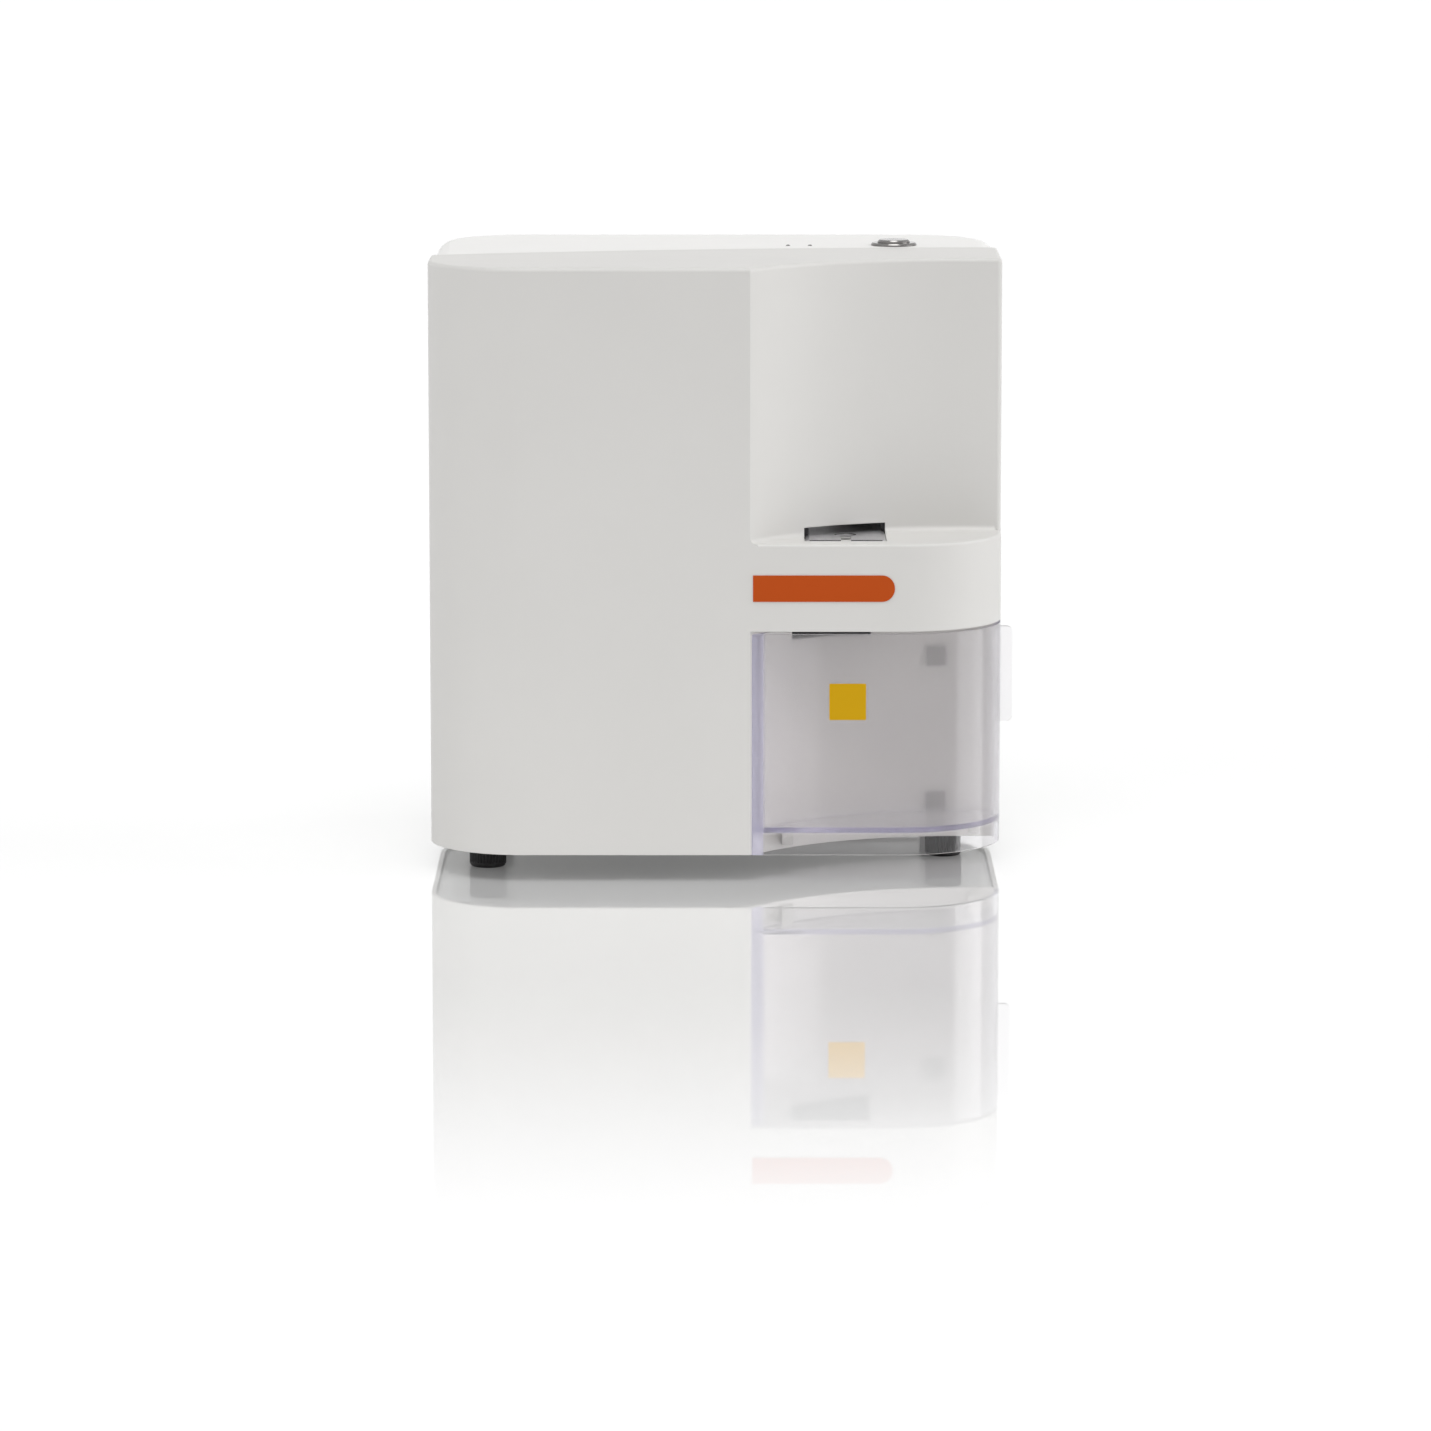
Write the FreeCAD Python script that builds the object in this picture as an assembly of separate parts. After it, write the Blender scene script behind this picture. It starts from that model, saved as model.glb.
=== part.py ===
import FreeCAD, Part
import math
import os

# A benchtop urine analyzer: a moulded two-piece housing with a loading ledge, a clear waste
# bin below the ledge, a steel loading tray, and the centrifuge, shuttle and microscope inside.
# Millimetres. The origin is under the middle of the whole box, on the table.
# X runs to the right, Y from the front to the back, Z up.

# Housing
WIDTH = 310.0
DEPTH = 224.0
HEIGHT = 331.0
LIFT = 14.5
WALL = 2.5
FRONT_CORNER_R = 51.0
REAR_CORNER_R = 50.0
FRONT_TOP_ROUND = 2.3
REAR_TOP_ROUND = 10.0

# Recess at the right of the front: a concave wall, one arc in plan
RECESS_WIDTH = 136.5
RECESS_DEPTH = 61.0
SWEEP_R = 137.3
RECESS_EDGE_R = 2.8
FRONT_EDGE_R = 0.8

# Ledge across the recess
LEDGE_TOP = 183.0
LEDGE_HEIGHT = 47.1
LEDGE_CORNER_R = 56.0
LEDGE_ROUND = 1.5
LEDGE_COVE_R = 3.0

# Seam between the front shell and the rear cover
SEAM_LEFT_DEPTH = 78.5
SEAM_MIDDLE_DEPTH = 116.8
SEAM_RIGHT_DEPTH = 129.0
SEAM_GAP = 0.4
LIP_LENGTH = 6.0
LIP_WALL = 1.6

# Clearances and cuts
FIT_GAP = 0.2
SLIDE_GAP = 0.3
RUN_GAP = 0.05
OVERRUN = 5.0

# Base plate, its screws and the screw bosses of the shells
BASE_T = 2.0
BASE_SETBACK = 2.0
BOSS_R = 4.5
BOSS_HEIGHT = 24.0
BOSS_SINK = 1.0
SCREW_R = 1.5
SCREW_HEAD_R = 2.8
SCREW_HEAD_H = 1.6
SCREW_SOCKET_R = 1.4
SCREW_LENGTH = 10.0
HEXAGON = 6

# Feet
FOOT_R = 10.0
FOOT_TIP_R = 8.6
FOOT_LEFT_INSET = 30.8
FOOT_RIGHT_INSET = 29.5
FOOT_FRONT_INSET = 50.2
FOOT_BEHIND_RECESS = 24.5
FOOT_REAR_INSET = 48.0
FOOT_CHAMFER = 1.8
FOOT_WELL_R = 4.0
FOOT_WELL_DEPTH = 5.0

# Waste bin
BIN_WALL = 2.5
BIN_GAP = 0.8
BIN_TOP_GAP = 1.5
BIN_FLOOR_BOTTOM = 26.3
BIN_FLOOR_T = 3.0
BIN_TIP = 6.0
EAR_REACH = 6.5
EAR_T = 3.0
EAR_TOP = 130.8
EAR_BOTTOM = 78.6
EAR_ROUND = 3.0
BIN_NOTCH_DROP = 6.0
BIN_NOTCH_SIDE = 1.5

# Catches that hold the bin
CATCH_INSET = 35.0
CATCH_SIZE = 10.9
CATCH_T = 1.0
CATCH_UPPER_Z = 114.4
CATCH_LOWER_Z = 34.3
MAGNET_R = 4.5
MAGNET_T = 1.6

# Brackets that carry the bin's floor
SUPPORT_LEFT_INSET = 20.5
SUPPORT_RIGHT_INSET = 14.0
SUPPORT_W = 6.0
SUPPORT_H = 9.0
SUPPORT_REACH = 14.5
SUPPORT_TIP_H = 3.0

# Name strip, bare, and the square label, bare
STRIP_INSET = 1.5
STRIP_LENGTH = 76.0
STRIP_HEIGHT = 14.3
STRIP_TOP = 166.4
STRIP_T = 0.4
LABEL_INSET = 52.4
LABEL_Z = 98.0
LABEL_SIZE = 19.8
LABEL_T = 0.3
LABEL_ROUND = 0.6

# Loading tray, its slot and its rails
TRAY_INSET = 30.0
TRAY_WIDTH = 42.7
TRAY_FRONT_DEPTH = 14.8
TRAY_LENGTH = 84.0
TRAY_T = 1.2
TRAY_HOLE_R = 6.5
TRAY_HOLE_DEPTH = 22.7
TRAY_NOTCH_W = 6.0
SENSOR_HOLE_R = 5.0
SLOT_HEIGHT = 4.9
SLOT_SIDE_GAP = 0.7
RAIL_W = 5.0
RAIL_HEIGHT = 11.0
RAIL_BITE = 1.4
RAIL_END_INSET = 34.0
RAIL_WALL_GAP = 1.5
RAIL_LEG_LENGTH = 8.0

# Chute from the deck to the bin
CHUTE_INSET = 23.0
CHUTE_WIDTH = 42.5
CHUTE_T = 1.2
CHUTE_LIP_DEPTH = 36.5
CHUTE_LIP_Z = 129.2
CHUTE_SETBACK = 25.0
CHUTE_TOP_Z = 166.0
CHUTE_SIDE_H = 8.0
CHUTE_MOUTH_BOTTOM = 128.2

# Deck inside, on four posts
DECK_Z = 150.0
DECK_T = 3.0
DECK_SETBACK = 8.5
POST_R = 5.0

# Centrifuge
BOWL_SIDE_GAP = 15.4
BOWL_SPACE = 8.2
BOWL_H = 42.0
BOWL_T = 2.0
BOWL_RIM = 3.0
ROTOR_GAP = 7.0
ROTOR_T = 5.0
ROTOR_Z = 174.0
ROTOR_HUB_R = 12.0
ROTOR_HUB_H = 12.0
ROTOR_HOLES = 6
ROTOR_HOLE_SHARE = 0.146
ROTOR_PITCH_SHARE = 0.625
ROTOR_SHAFT_R = 3.0
ROTOR_SHAFT_LENGTH = 48.0
ROTOR_MOTOR_R = 21.0
ROTOR_MOTOR_H = 46.0

# Shuttle that carries a cuvette from the tray to the microscope
SHUTTLE_BACK_INSET = 43.0
SHUTTLE_WIDTH = 46.0
SHUTTLE_LENGTH = 38.0
SHUTTLE_BOTTOM = 154.5
SHUTTLE_TOP = 174.0
SHUTTLE_PLATE_T = 6.0
SHUTTLE_BEARING = 11.0
SHUTTLE_NEST_DEPTH = 2.5
SHUTTLE_NEST_MARGIN = 5.0
ROD_R = 2.5
ROD_Z = 159.0
ROD_LEFT_INSET = 11.0
ROD_RIGHT_REACH = 12.8
ROD_BLOCK_W = 8.0
ROD_BLOCK_H = 12.0
BELT_Z = 160.0
BELT_H = 6.0
BELT_T = 1.2
BELT_SETBACK = 7.5
PULLEY_R = 5.0
PULLEY_FLANGE_R = 6.2
PULLEY_FLANGE_T = 0.8
PULLEY_LEFT_INSET = 25.0
PULLEY_RIGHT_REACH = 8.0
PULLEY_SHAFT_R = 2.5
PULLEY_SHAFT_DEPTH = 12.0

# Stepper motors
MOTOR_SIZE = 28.0
MOTOR_LENGTH = 26.0
MOTOR_EDGE = 3.0

# Tray screw and nut
SCREW_DRIVE_REACH = 9.8
SCREW_DRIVE_Z = 174.5
SCREW_DRIVE_R = 2.5
NUT_R = 5.0
NUT_LENGTH = 9.0
NUT_SETBACK = 18.8
NUT_ARM_T = 1.4
NUT_ARM_RISE = 1.1

# Microscope
SCOPE_INSET = 45.0
SCOPE_WIDTH = 40.0
SCOPE_BACK_INSET = 12.0
SCOPE_T = 10.0
SCOPE_TOP_DROP = 41.0
SCOPE_FLANGE_T = 4.0
SCOPE_FOOT_LENGTH = 14.0
SCOPE_FOOT_T = 6.0
FOCUS_BOTTOM_SHARE = 0.345
FOCUS_TOP_SHARE = 0.76
FOCUS_BLOCK_T = 16.0
FOCUS_ARM_T = 10.0
FOCUS_SCREW_R = 2.0
FOCUS_DOWN = 1.0
OBJECTIVE_CLEARANCE = 4.0
OBJECTIVE_R = 12.0
OBJECTIVE_NECK_R = 9.0
OBJECTIVE_TIP_R = 5.0
OBJECTIVE_STEP_SHARES = (0.17, 0.33, 0.5, 0.6)
CAMERA_SIZE = 29.0
CAMERA_HEIGHT = 36.0
CAMERA_TUBE_R = 11.0
CONDENSER_R = 8.0
CONDENSER_H = 9.0
CONDENSER_LENS_R = 5.0

# Push button on the top
BUTTON_INSET = 56.6
BUTTON_BEHIND_SEAM = 15.0
BUTTON_RING_R = 12.6
BUTTON_RING_H = 1.6
BUTTON_CAP_R = 8.8
BUTTON_CAP_RISE = 1.6
BUTTON_CAP_T = 7.0
BUTTON_TRAVEL = 1.4
BUTTON_HOLE_R = 11.0
BUTTON_BODY_LENGTH = 24.0
BUTTON_STEM_R = 3.0
BUTTON_STEM_LENGTH = 6.0
NUT_RIM_R = 14.0

# Status lenses on the top
LENS_FROM_BUTTON = 58.4
LENS_SPACING = 12.1
LENS_FORWARD = 4.0
LENS_R = 1.3
LENS_LENGTH = 5.0

# Back panel, seen through a window of the rear cover
PANEL_SIDE = 17.0
PANEL_WINDOW_BOTTOM = 30.0
PANEL_WINDOW_HEIGHT = 118.0
PANEL_FLANGE = 6.0
PANEL_T = 1.5
PANEL_SCREW_INSET = 6.0
PANEL_CORNER_R = 5.0
VENT_SLOTS = 7
VENT_PITCH = 7.6
VENT_SLOT_H = 4.0

# Fan
FAN_INSET = 40.0
FAN_Z = 98.0
FAN_SIZE = 60.0
FAN_LENGTH = 15.0
FAN_BORE_R = 28.0
FAN_CORNER_R = 4.0
FAN_HUB_R = 12.0
FAN_BLADE_R = 26.8
FAN_BLADE_T = 1.4
FAN_BLADES = 7
FAN_BLADE_TILT = 38.0
FAN_BLADE_CHORD = 13.0
FAN_STRUT_W = 4.0
FAN_STRUT_T = 2.5
FAN_PIN_R = 1.5

# Louvres in the rear cover above the panel
LOUVRES = 8
LOUVRE_INSET = 23.0
LOUVRE_HEIGHT = 3.2
LOUVRE_PITCH = 9.0
LOUVRE_DROP = 125.0

# Power inlet and data port
INLET_INSET = 30.0
INLET_Z = 58.0
INLET_WIDTH = 31.0
INLET_HEIGHT = 25.0
INLET_FLANGE_T = 2.4
INLET_BODY_MARGIN = 2.0
INLET_BODY_LENGTH = 20.0
INLET_CAVITY_WIDTH = 24.0
INLET_CAVITY_HEIGHT = 16.4
INLET_CAVITY_CHAMFER = 4.5
INLET_CAVITY_DEPTH = 16.0
PIN_WIDTH = 2.0
PIN_HEIGHT = 4.0
PIN_SPREAD = 7.0
PIN_DROP = 2.5
PIN_RECESS = 5.0
PORT_FROM_INLET = 42.0
PORT_Z = 58.0
PORT_WIDTH = 16.5
PORT_HEIGHT = 14.0
PORT_LENGTH = 18.0
PORT_CAVITY_WIDTH = 11.8
PORT_CAVITY_HEIGHT = 8.4
PORT_CAVITY_DEPTH = 12.0

# Power supply and main board
SUPPLY_INSET = 4.0
SUPPLY_LENGTH = 90.0
SUPPLY_BACK_INSET = 42.0
SUPPLY_WIDTH = 56.0
SUPPLY_HEIGHT = 34.0
SUPPLY_T = 1.2
SUPPLY_SLOTS = 7
SUPPLY_SLOT_W = 5.0
BOARD_LEFT_INSET = 43.0
BOARD_RIGHT_INSET = 22.0
BOARD_FRONT_INSET = 14.0
BOARD_BACK_GAP = 12.0
BOARD_T = 1.6
BOARD_STANDOFF = 8.0
BOARD_EDGE = 5.0
BOARD_POST_R = 2.5
CHIP_COLUMNS = 4
CHIP_ROWS = 3
CHIP_SHARE = 0.5
CHIP_HEIGHT = 3.0

# Places worked out from the sizes above
V = FreeCAD.Vector
LEFT = -WIDTH / 2
RIGHT = WIDTH / 2
FRONT = -DEPTH / 2
BACK = DEPTH / 2
RECESS_X = RIGHT - RECESS_WIDTH
WALL_Y = FRONT + RECESS_DEPTH
SWEEP_X = RECESS_X + math.sqrt(SWEEP_R**2 - (SWEEP_R - RECESS_DEPTH) ** 2)
SWEEP_Y = WALL_Y - SWEEP_R
LEDGE_BOTTOM = LEDGE_TOP - LEDGE_HEIGHT
BASE_BOTTOM = LIFT + BASE_SETBACK
BASE_TOP = BASE_BOTTOM + BASE_T
DECK_TOP = DECK_Z + DECK_T
BIN_TOP = LEDGE_BOTTOM - BIN_TOP_GAP
INSIDE_TOP = HEIGHT - WALL
# The housing is drawn about its own middle; the whole box, with the ear and the strip, is centred
TO_ORIGIN = V(-EAR_REACH / 2, STRIP_T / 2, 0)

TRAY_LEFT = RECESS_X + TRAY_INSET
TRAY_RIGHT = TRAY_LEFT + TRAY_WIDTH
TRAY_MIDDLE = TRAY_LEFT + TRAY_WIDTH / 2
TRAY_BOTTOM = LEDGE_TOP - TRAY_T
TRAY_FRONT = FRONT + TRAY_FRONT_DEPTH
TRAY_BACK = TRAY_FRONT + TRAY_LENGTH
CHUTE_LEFT = RECESS_X + CHUTE_INSET
CHUTE_RIGHT = CHUTE_LEFT + CHUTE_WIDTH
CATCH_X = RIGHT - CATCH_INSET
BUTTON_X = RIGHT - BUTTON_INSET
BUTTON_Y = FRONT + SEAM_RIGHT_DEPTH + BUTTON_BEHIND_SEAM
LENS_XS = (BUTTON_X - LENS_FROM_BUTTON, BUTTON_X - LENS_FROM_BUTTON + LENS_SPACING)
LENS_Y = BUTTON_Y - LENS_FORWARD
PANEL_LEFT = LEFT + REAR_CORNER_R + PANEL_SIDE
PANEL_RIGHT = -PANEL_LEFT
PANEL_TOP = PANEL_WINDOW_BOTTOM + PANEL_WINDOW_HEIGHT
PANEL_FACE = BACK - WALL
PANEL_BACK = PANEL_FACE - PANEL_T
FAN_X = PANEL_RIGHT - FAN_INSET
INLET_X = PANEL_LEFT + INLET_INSET
PORT_X = INLET_X + PORT_FROM_INLET
SHUTTLE_BACK = BACK - SHUTTLE_BACK_INSET
SHUTTLE_FRONT = SHUTTLE_BACK - SHUTTLE_LENGTH
ROD_YS = (SHUTTLE_FRONT + SHUTTLE_BEARING / 2, SHUTTLE_BACK - SHUTTLE_BEARING / 2)
ROD_LEFT_X = LEFT + ROD_LEFT_INSET
ROD_RIGHT_X = TRAY_RIGHT + ROD_RIGHT_REACH
BELT_Y = SHUTTLE_FRONT - BELT_SETBACK
BELT_FRONT = BELT_Y - PULLEY_R - SLIDE_GAP - BELT_T
PULLEY_LEFT_X = LEFT + PULLEY_LEFT_INSET
PULLEY_RIGHT_X = ROD_RIGHT_X + PULLEY_RIGHT_REACH
CHUTE_LIP_Y = FRONT + CHUTE_LIP_DEPTH
CHUTE_TOP_Y = SHUTTLE_FRONT - CHUTE_SETBACK
BOWL_Y = (BELT_FRONT + FRONT + WALL) / 2
BOWL_R = (BELT_FRONT - FRONT - WALL) / 2 - BOWL_SPACE
BOWL_X = TRAY_LEFT - BOWL_SIDE_GAP - BOWL_RIM - BOWL_R
ROTOR_R = BOWL_R - ROTOR_GAP
RAIL_END = BACK - RAIL_END_INSET
SCREW_DRIVE_X = TRAY_RIGHT + SCREW_DRIVE_REACH
NUT_Y = TRAY_BACK - NUT_SETBACK
SCOPE_X = LEFT + SCOPE_INSET
SCOPE_Y = (SHUTTLE_FRONT + SHUTTLE_BACK) / 2
SCOPE_BACK = BACK - SCOPE_BACK_INSET
SCOPE_FACE = SCOPE_BACK - SCOPE_T
SCOPE_TOP = HEIGHT - SCOPE_TOP_DROP
SCOPE_SPACE = SCOPE_TOP - SHUTTLE_TOP
FOCUS_BLOCK_BOTTOM = SHUTTLE_TOP + SCOPE_SPACE * FOCUS_BOTTOM_SHARE
FOCUS_BLOCK_TOP = SHUTTLE_TOP + SCOPE_SPACE * FOCUS_TOP_SHARE
FOCUS_BACK = SCOPE_FACE - SLIDE_GAP
FOCUS_SCREW_Y = FOCUS_BACK - FOCUS_BLOCK_T / 2
SCOPE_LEFT = SCOPE_X - SCOPE_WIDTH / 2
SCOPE_RIGHT = SCOPE_X + SCOPE_WIDTH / 2
SUPPLY_LEFT = PANEL_LEFT + SUPPLY_INSET
SUPPLY_FRONT = BACK - SUPPLY_BACK_INSET - SUPPLY_WIDTH
BOARD_LEFT = LEFT + BOARD_LEFT_INSET
BOARD_RIGHT = RECESS_X - BOARD_RIGHT_INSET
BOARD_FRONT = FRONT + BOARD_FRONT_INSET
BOARD_BACK = SUPPLY_FRONT - BOARD_BACK_GAP

FEET = (
    (LEFT + FOOT_LEFT_INSET, FRONT + FOOT_FRONT_INSET),
    (RIGHT - FOOT_RIGHT_INSET, WALL_Y + FOOT_BEHIND_RECESS),
    (LEFT + FOOT_LEFT_INSET, BACK - FOOT_REAR_INSET),
    (RIGHT - FOOT_RIGHT_INSET, BACK - FOOT_REAR_INSET),
)
FOOT_NAMES = ("foot_front_left", "foot_front_right", "foot_rear_left", "foot_rear_right")


# Small shape helpers
def block(x0, x1, y0, y1, z0, z1):
    return Part.makeBox(x1 - x0, y1 - y0, z1 - z0, V(x0, y0, z0))


def rod(x, y, z, length, radius, axis=V(0, 0, 1)):
    return Part.makeCylinder(radius, length, V(x, y, z), axis)


def fuse(shapes):
    whole = shapes[0]
    for shape in shapes[1:]:
        whole = whole.fuse(shape)
    return whole.removeSplitter()


def cut(shape, tools):
    for tool in tools:
        shape = shape.cut(tool)
    return shape


def save(name, shape):
    shape.translate(TO_ORIGIN)
    shape.exportStep("parts/" + name + ".step")
    print(name, len(shape.Solids), "solid(s)", round(shape.Volume / 1000, 2), "cm3", shape.isValid())


def path(points):
    """Edges through (x, y, radius) points, each corner rounded by its own radius."""
    edges = []
    start = V(points[0][0], points[0][1], 0)
    for before, here, after in zip(points, points[1:], points[2:]):
        corner = V(here[0], here[1], 0)
        back = (V(before[0], before[1], 0) - corner).normalize()
        ahead = (V(after[0], after[1], 0) - corner).normalize()
        if here[2] <= 0:
            edges.append(Part.makeLine(start, corner))
            start = corner
            continue
        half = back.getAngle(ahead) / 2
        reach = here[2] / math.tan(half)
        middle = (back + ahead).normalize() * (here[2] / math.sin(half) - here[2])
        one = corner + back * reach
        two = corner + ahead * reach
        if (one - start).Length > Part.Vertex(start).Tolerance:
            edges.append(Part.makeLine(start, one))
        edges.append(Part.Arc(one, corner + middle, two).toShape())
        start = two
    end = V(points[-1][0], points[-1][1], 0)
    if (end - start).Length > Part.Vertex(start).Tolerance:
        edges.append(Part.makeLine(start, end))
    return edges


def rounded(x0, x1, y0, y1, radius):
    """The closed outline of a rectangle with round corners."""
    start = ((x0 + x1) / 2, y0, 0)
    corners = [(x1, y0, radius), (x1, y1, radius), (x0, y1, radius), (x0, y0, radius)]
    return path([start] + corners + [start])


def prism(edges, z0, z1):
    """An outline in plan, raised from z0 to z1."""
    face = Part.Face(Part.Wire(edges))
    face.translate(V(0, 0, z0))
    return face.extrude(V(0, 0, z1 - z0))


def upright(edges, y0, y1):
    """An outline drawn as x and z, carried from y0 to y1."""
    face = Part.Face(Part.Wire(edges))
    face.rotate(V(0, 0, 0), V(1, 0, 0), 90)
    face.translate(V(0, y0, 0))
    return face.extrude(V(0, y1 - y0, 0))


def turned(profile, x, y, z):
    """A closed profile of (radius, height) points, turned about an upright axis."""
    points = [V(radius, 0, height) for radius, height in profile]
    face = Part.Face(Part.makePolygon(points + points[:1]))
    face.translate(V(x, y, z))
    return face.revolve(V(x, y, z), V(0, 0, 1), 360)


# Plan outlines of the housing
def sweep_start(y, inset):
    """Where the concave wall, set back by inset, crosses the line y."""
    return SWEEP_X - math.sqrt((SWEEP_R + inset) ** 2 - (y - SWEEP_Y) ** 2)


def sweep_arc(y, inset):
    """The concave wall from the line y to where it runs parallel with the front."""
    radius = SWEEP_R + inset
    start = V(sweep_start(y, inset), y, 0)
    angle = math.atan2(start.y - SWEEP_Y, start.x - SWEEP_X)
    half = (angle + math.pi / 2) / 2
    middle = V(SWEEP_X + radius * math.cos(half), SWEEP_Y + radius * math.sin(half), 0)
    return Part.Arc(start, middle, V(SWEEP_X, SWEEP_Y + radius, 0)).toShape()


def sweep_y(x, inset=0):
    """The Y of the concave wall at x."""
    if x >= SWEEP_X:
        return WALL_Y + inset
    return SWEEP_Y + math.sqrt((SWEEP_R + inset) ** 2 - (x - SWEEP_X) ** 2)


def body_outline(inset):
    """The housing's plan, drawn in by inset."""
    left, right = LEFT + inset, RIGHT - inset
    front, back = FRONT + inset, BACK - inset
    edge_r = max(RECESS_EDGE_R - inset, 0)
    rear_r = REAR_CORNER_R - inset
    around = [
        (SWEEP_X, WALL_Y + inset, 0),
        (right, WALL_Y + inset, edge_r),
        (right, back, rear_r),
        (left, back, rear_r),
        (left, front, FRONT_CORNER_R - inset),
        (sweep_start(front, inset), front, 0),
    ]
    return [sweep_arc(front, inset)] + path(around)


def ledge_outline(inset):
    """The ledge's plan, carried back through the concave wall."""
    left, right = RECESS_X - WALL - inset, RIGHT - inset
    front, back = FRONT + inset, WALL_Y + OVERRUN
    start = (left, back, 0)
    corner = (right, front, LEDGE_CORNER_R - inset)
    return path([start, (left, front, 0), corner, (right, back, 0), start])


def cover_outline(inset):
    """The rear cover's plan: a rectangle with round rear corners."""
    left, right = LEFT + inset, RIGHT - inset
    back, rear_r = BACK - inset, REAR_CORNER_R - inset
    start = (left, FRONT, 0)
    return path([start, (right, FRONT, 0), (right, back, rear_r), (left, back, rear_r), start])


def behind_seam(shift):
    """All the space behind the seam, moved back by shift."""
    start = V(LEFT - OVERRUN, FRONT + SEAM_LEFT_DEPTH + shift, 0)
    middle = V(0, FRONT + SEAM_MIDDLE_DEPTH + shift, 0)
    end = V(RIGHT + OVERRUN, FRONT + SEAM_RIGHT_DEPTH + shift, 0)
    back = BACK + OVERRUN
    behind = path([(end.x, end.y, 0), (end.x, back, 0), (start.x, back, 0), (start.x, start.y, 0)])
    return prism([Part.Arc(start, middle, end).toShape()] + behind, -OVERRUN, HEIGHT + OVERRUN)


# Screw bosses: places in plan, worked out from the walls that carry them
BOSS_INSET = WALL + BOSS_R - BOSS_SINK


def corner_place(x, y, radius, angle):
    """A boss place on the inside of a round corner."""
    reach = radius - BOSS_INSET
    return x + reach * math.cos(math.radians(angle)), y + reach * math.sin(math.radians(angle))


FRONT_BOSSES = (
    corner_place(LEFT + FRONT_CORNER_R, FRONT + FRONT_CORNER_R, FRONT_CORNER_R, 225),
    (RECESS_X - BOSS_INSET - BOSS_R, FRONT + BOSS_INSET),
    (RIGHT - BOSS_INSET - BOSS_R, WALL_Y + BOSS_INSET),
)
REAR_BOSSES = (
    corner_place(LEFT + REAR_CORNER_R, BACK - REAR_CORNER_R, REAR_CORNER_R, 135),
    corner_place(RIGHT - REAR_CORNER_R, BACK - REAR_CORNER_R, REAR_CORNER_R, 45),
)
SCREW_HOLE_R = SCREW_R + FIT_GAP


def bosses(places):
    """Screw bosses that stand on the base plate."""
    made = []
    for x, y in places:
        boss = rod(x, y, BASE_TOP, BOSS_HEIGHT, BOSS_R)
        made.append(boss.cut(rod(x, y, BASE_TOP, SCREW_LENGTH + BASE_T, SCREW_HOLE_R)))
    return made


def top_edges(shape, z):
    """The edges that lie flat at height z."""
    def off(edge):
        return abs(edge.BoundBox.ZMin - z) + abs(edge.BoundBox.ZMax - z)
    return [edge for edge in shape.Edges if off(edge) < FIT_GAP]


def front_edge(shape):
    """The upright edge where the front face turns into the recess."""
    def off(edge):
        return abs(edge.CenterOfMass.x - RECESS_X) + abs(edge.CenterOfMass.y - FRONT)
    return [edge for edge in shape.Edges if off(edge) < FIT_GAP]


# Front shell: front face, round left corner, concave wall, ledge and the front band of the top
SLOT_LEFT = TRAY_LEFT - SLOT_SIDE_GAP
SLOT_RIGHT = TRAY_RIGHT + SLOT_SIDE_GAP


def catch_place(shape, z, turn_y):
    """Turns a shape made at the flat part of the recess round to the catches' place on the arc."""
    angle = math.degrees(math.asin((SWEEP_X - CATCH_X) / SWEEP_R))
    shape.translate(V(SWEEP_X, turn_y, z))
    shape.rotate(V(SWEEP_X, SWEEP_Y, 0), V(0, 0, 1), angle)
    return shape


def ledge_nose(ledge):
    """The top edges of the ledge that show: the front, the round corner and the right side."""
    shown = []
    for edge in top_edges(ledge, LEDGE_TOP):
        box = edge.BoundBox
        in_front = box.YMin < WALL_Y and box.XMax > RECESS_X
        if in_front and (box.YMax < WALL_Y + OVERRUN or box.XMin > RIGHT - FIT_GAP):
            shown.append(edge)
    return shown


def tray_slot():
    """The pocket of the tray in the ledge, and its slot through the concave wall."""
    bottom = TRAY_BOTTOM - SLIDE_GAP
    front, back = TRAY_FRONT - SLIDE_GAP, WALL_Y + OVERRUN
    return block(SLOT_LEFT, SLOT_RIGHT, front, back, bottom, LEDGE_TOP + SLOT_HEIGHT)


def chute_mouth():
    """The opening in the concave wall, under the ledge, that the chute comes through."""
    left, right = CHUTE_LEFT - FIT_GAP, CHUTE_RIGHT + FIT_GAP
    front, back = sweep_y(CHUTE_LEFT) - OVERRUN, WALL_Y + OVERRUN
    return block(left, right, front, back, CHUTE_MOUTH_BOTTOM, LEDGE_BOTTOM + WALL)


def sensor_hole():
    """The round hole in the pocket's floor, below the hole in the tray."""
    return rod(TRAY_MIDDLE, TRAY_FRONT + TRAY_HOLE_DEPTH, LEDGE_TOP - WALL, WALL, SENSOR_HOLE_R)


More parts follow.
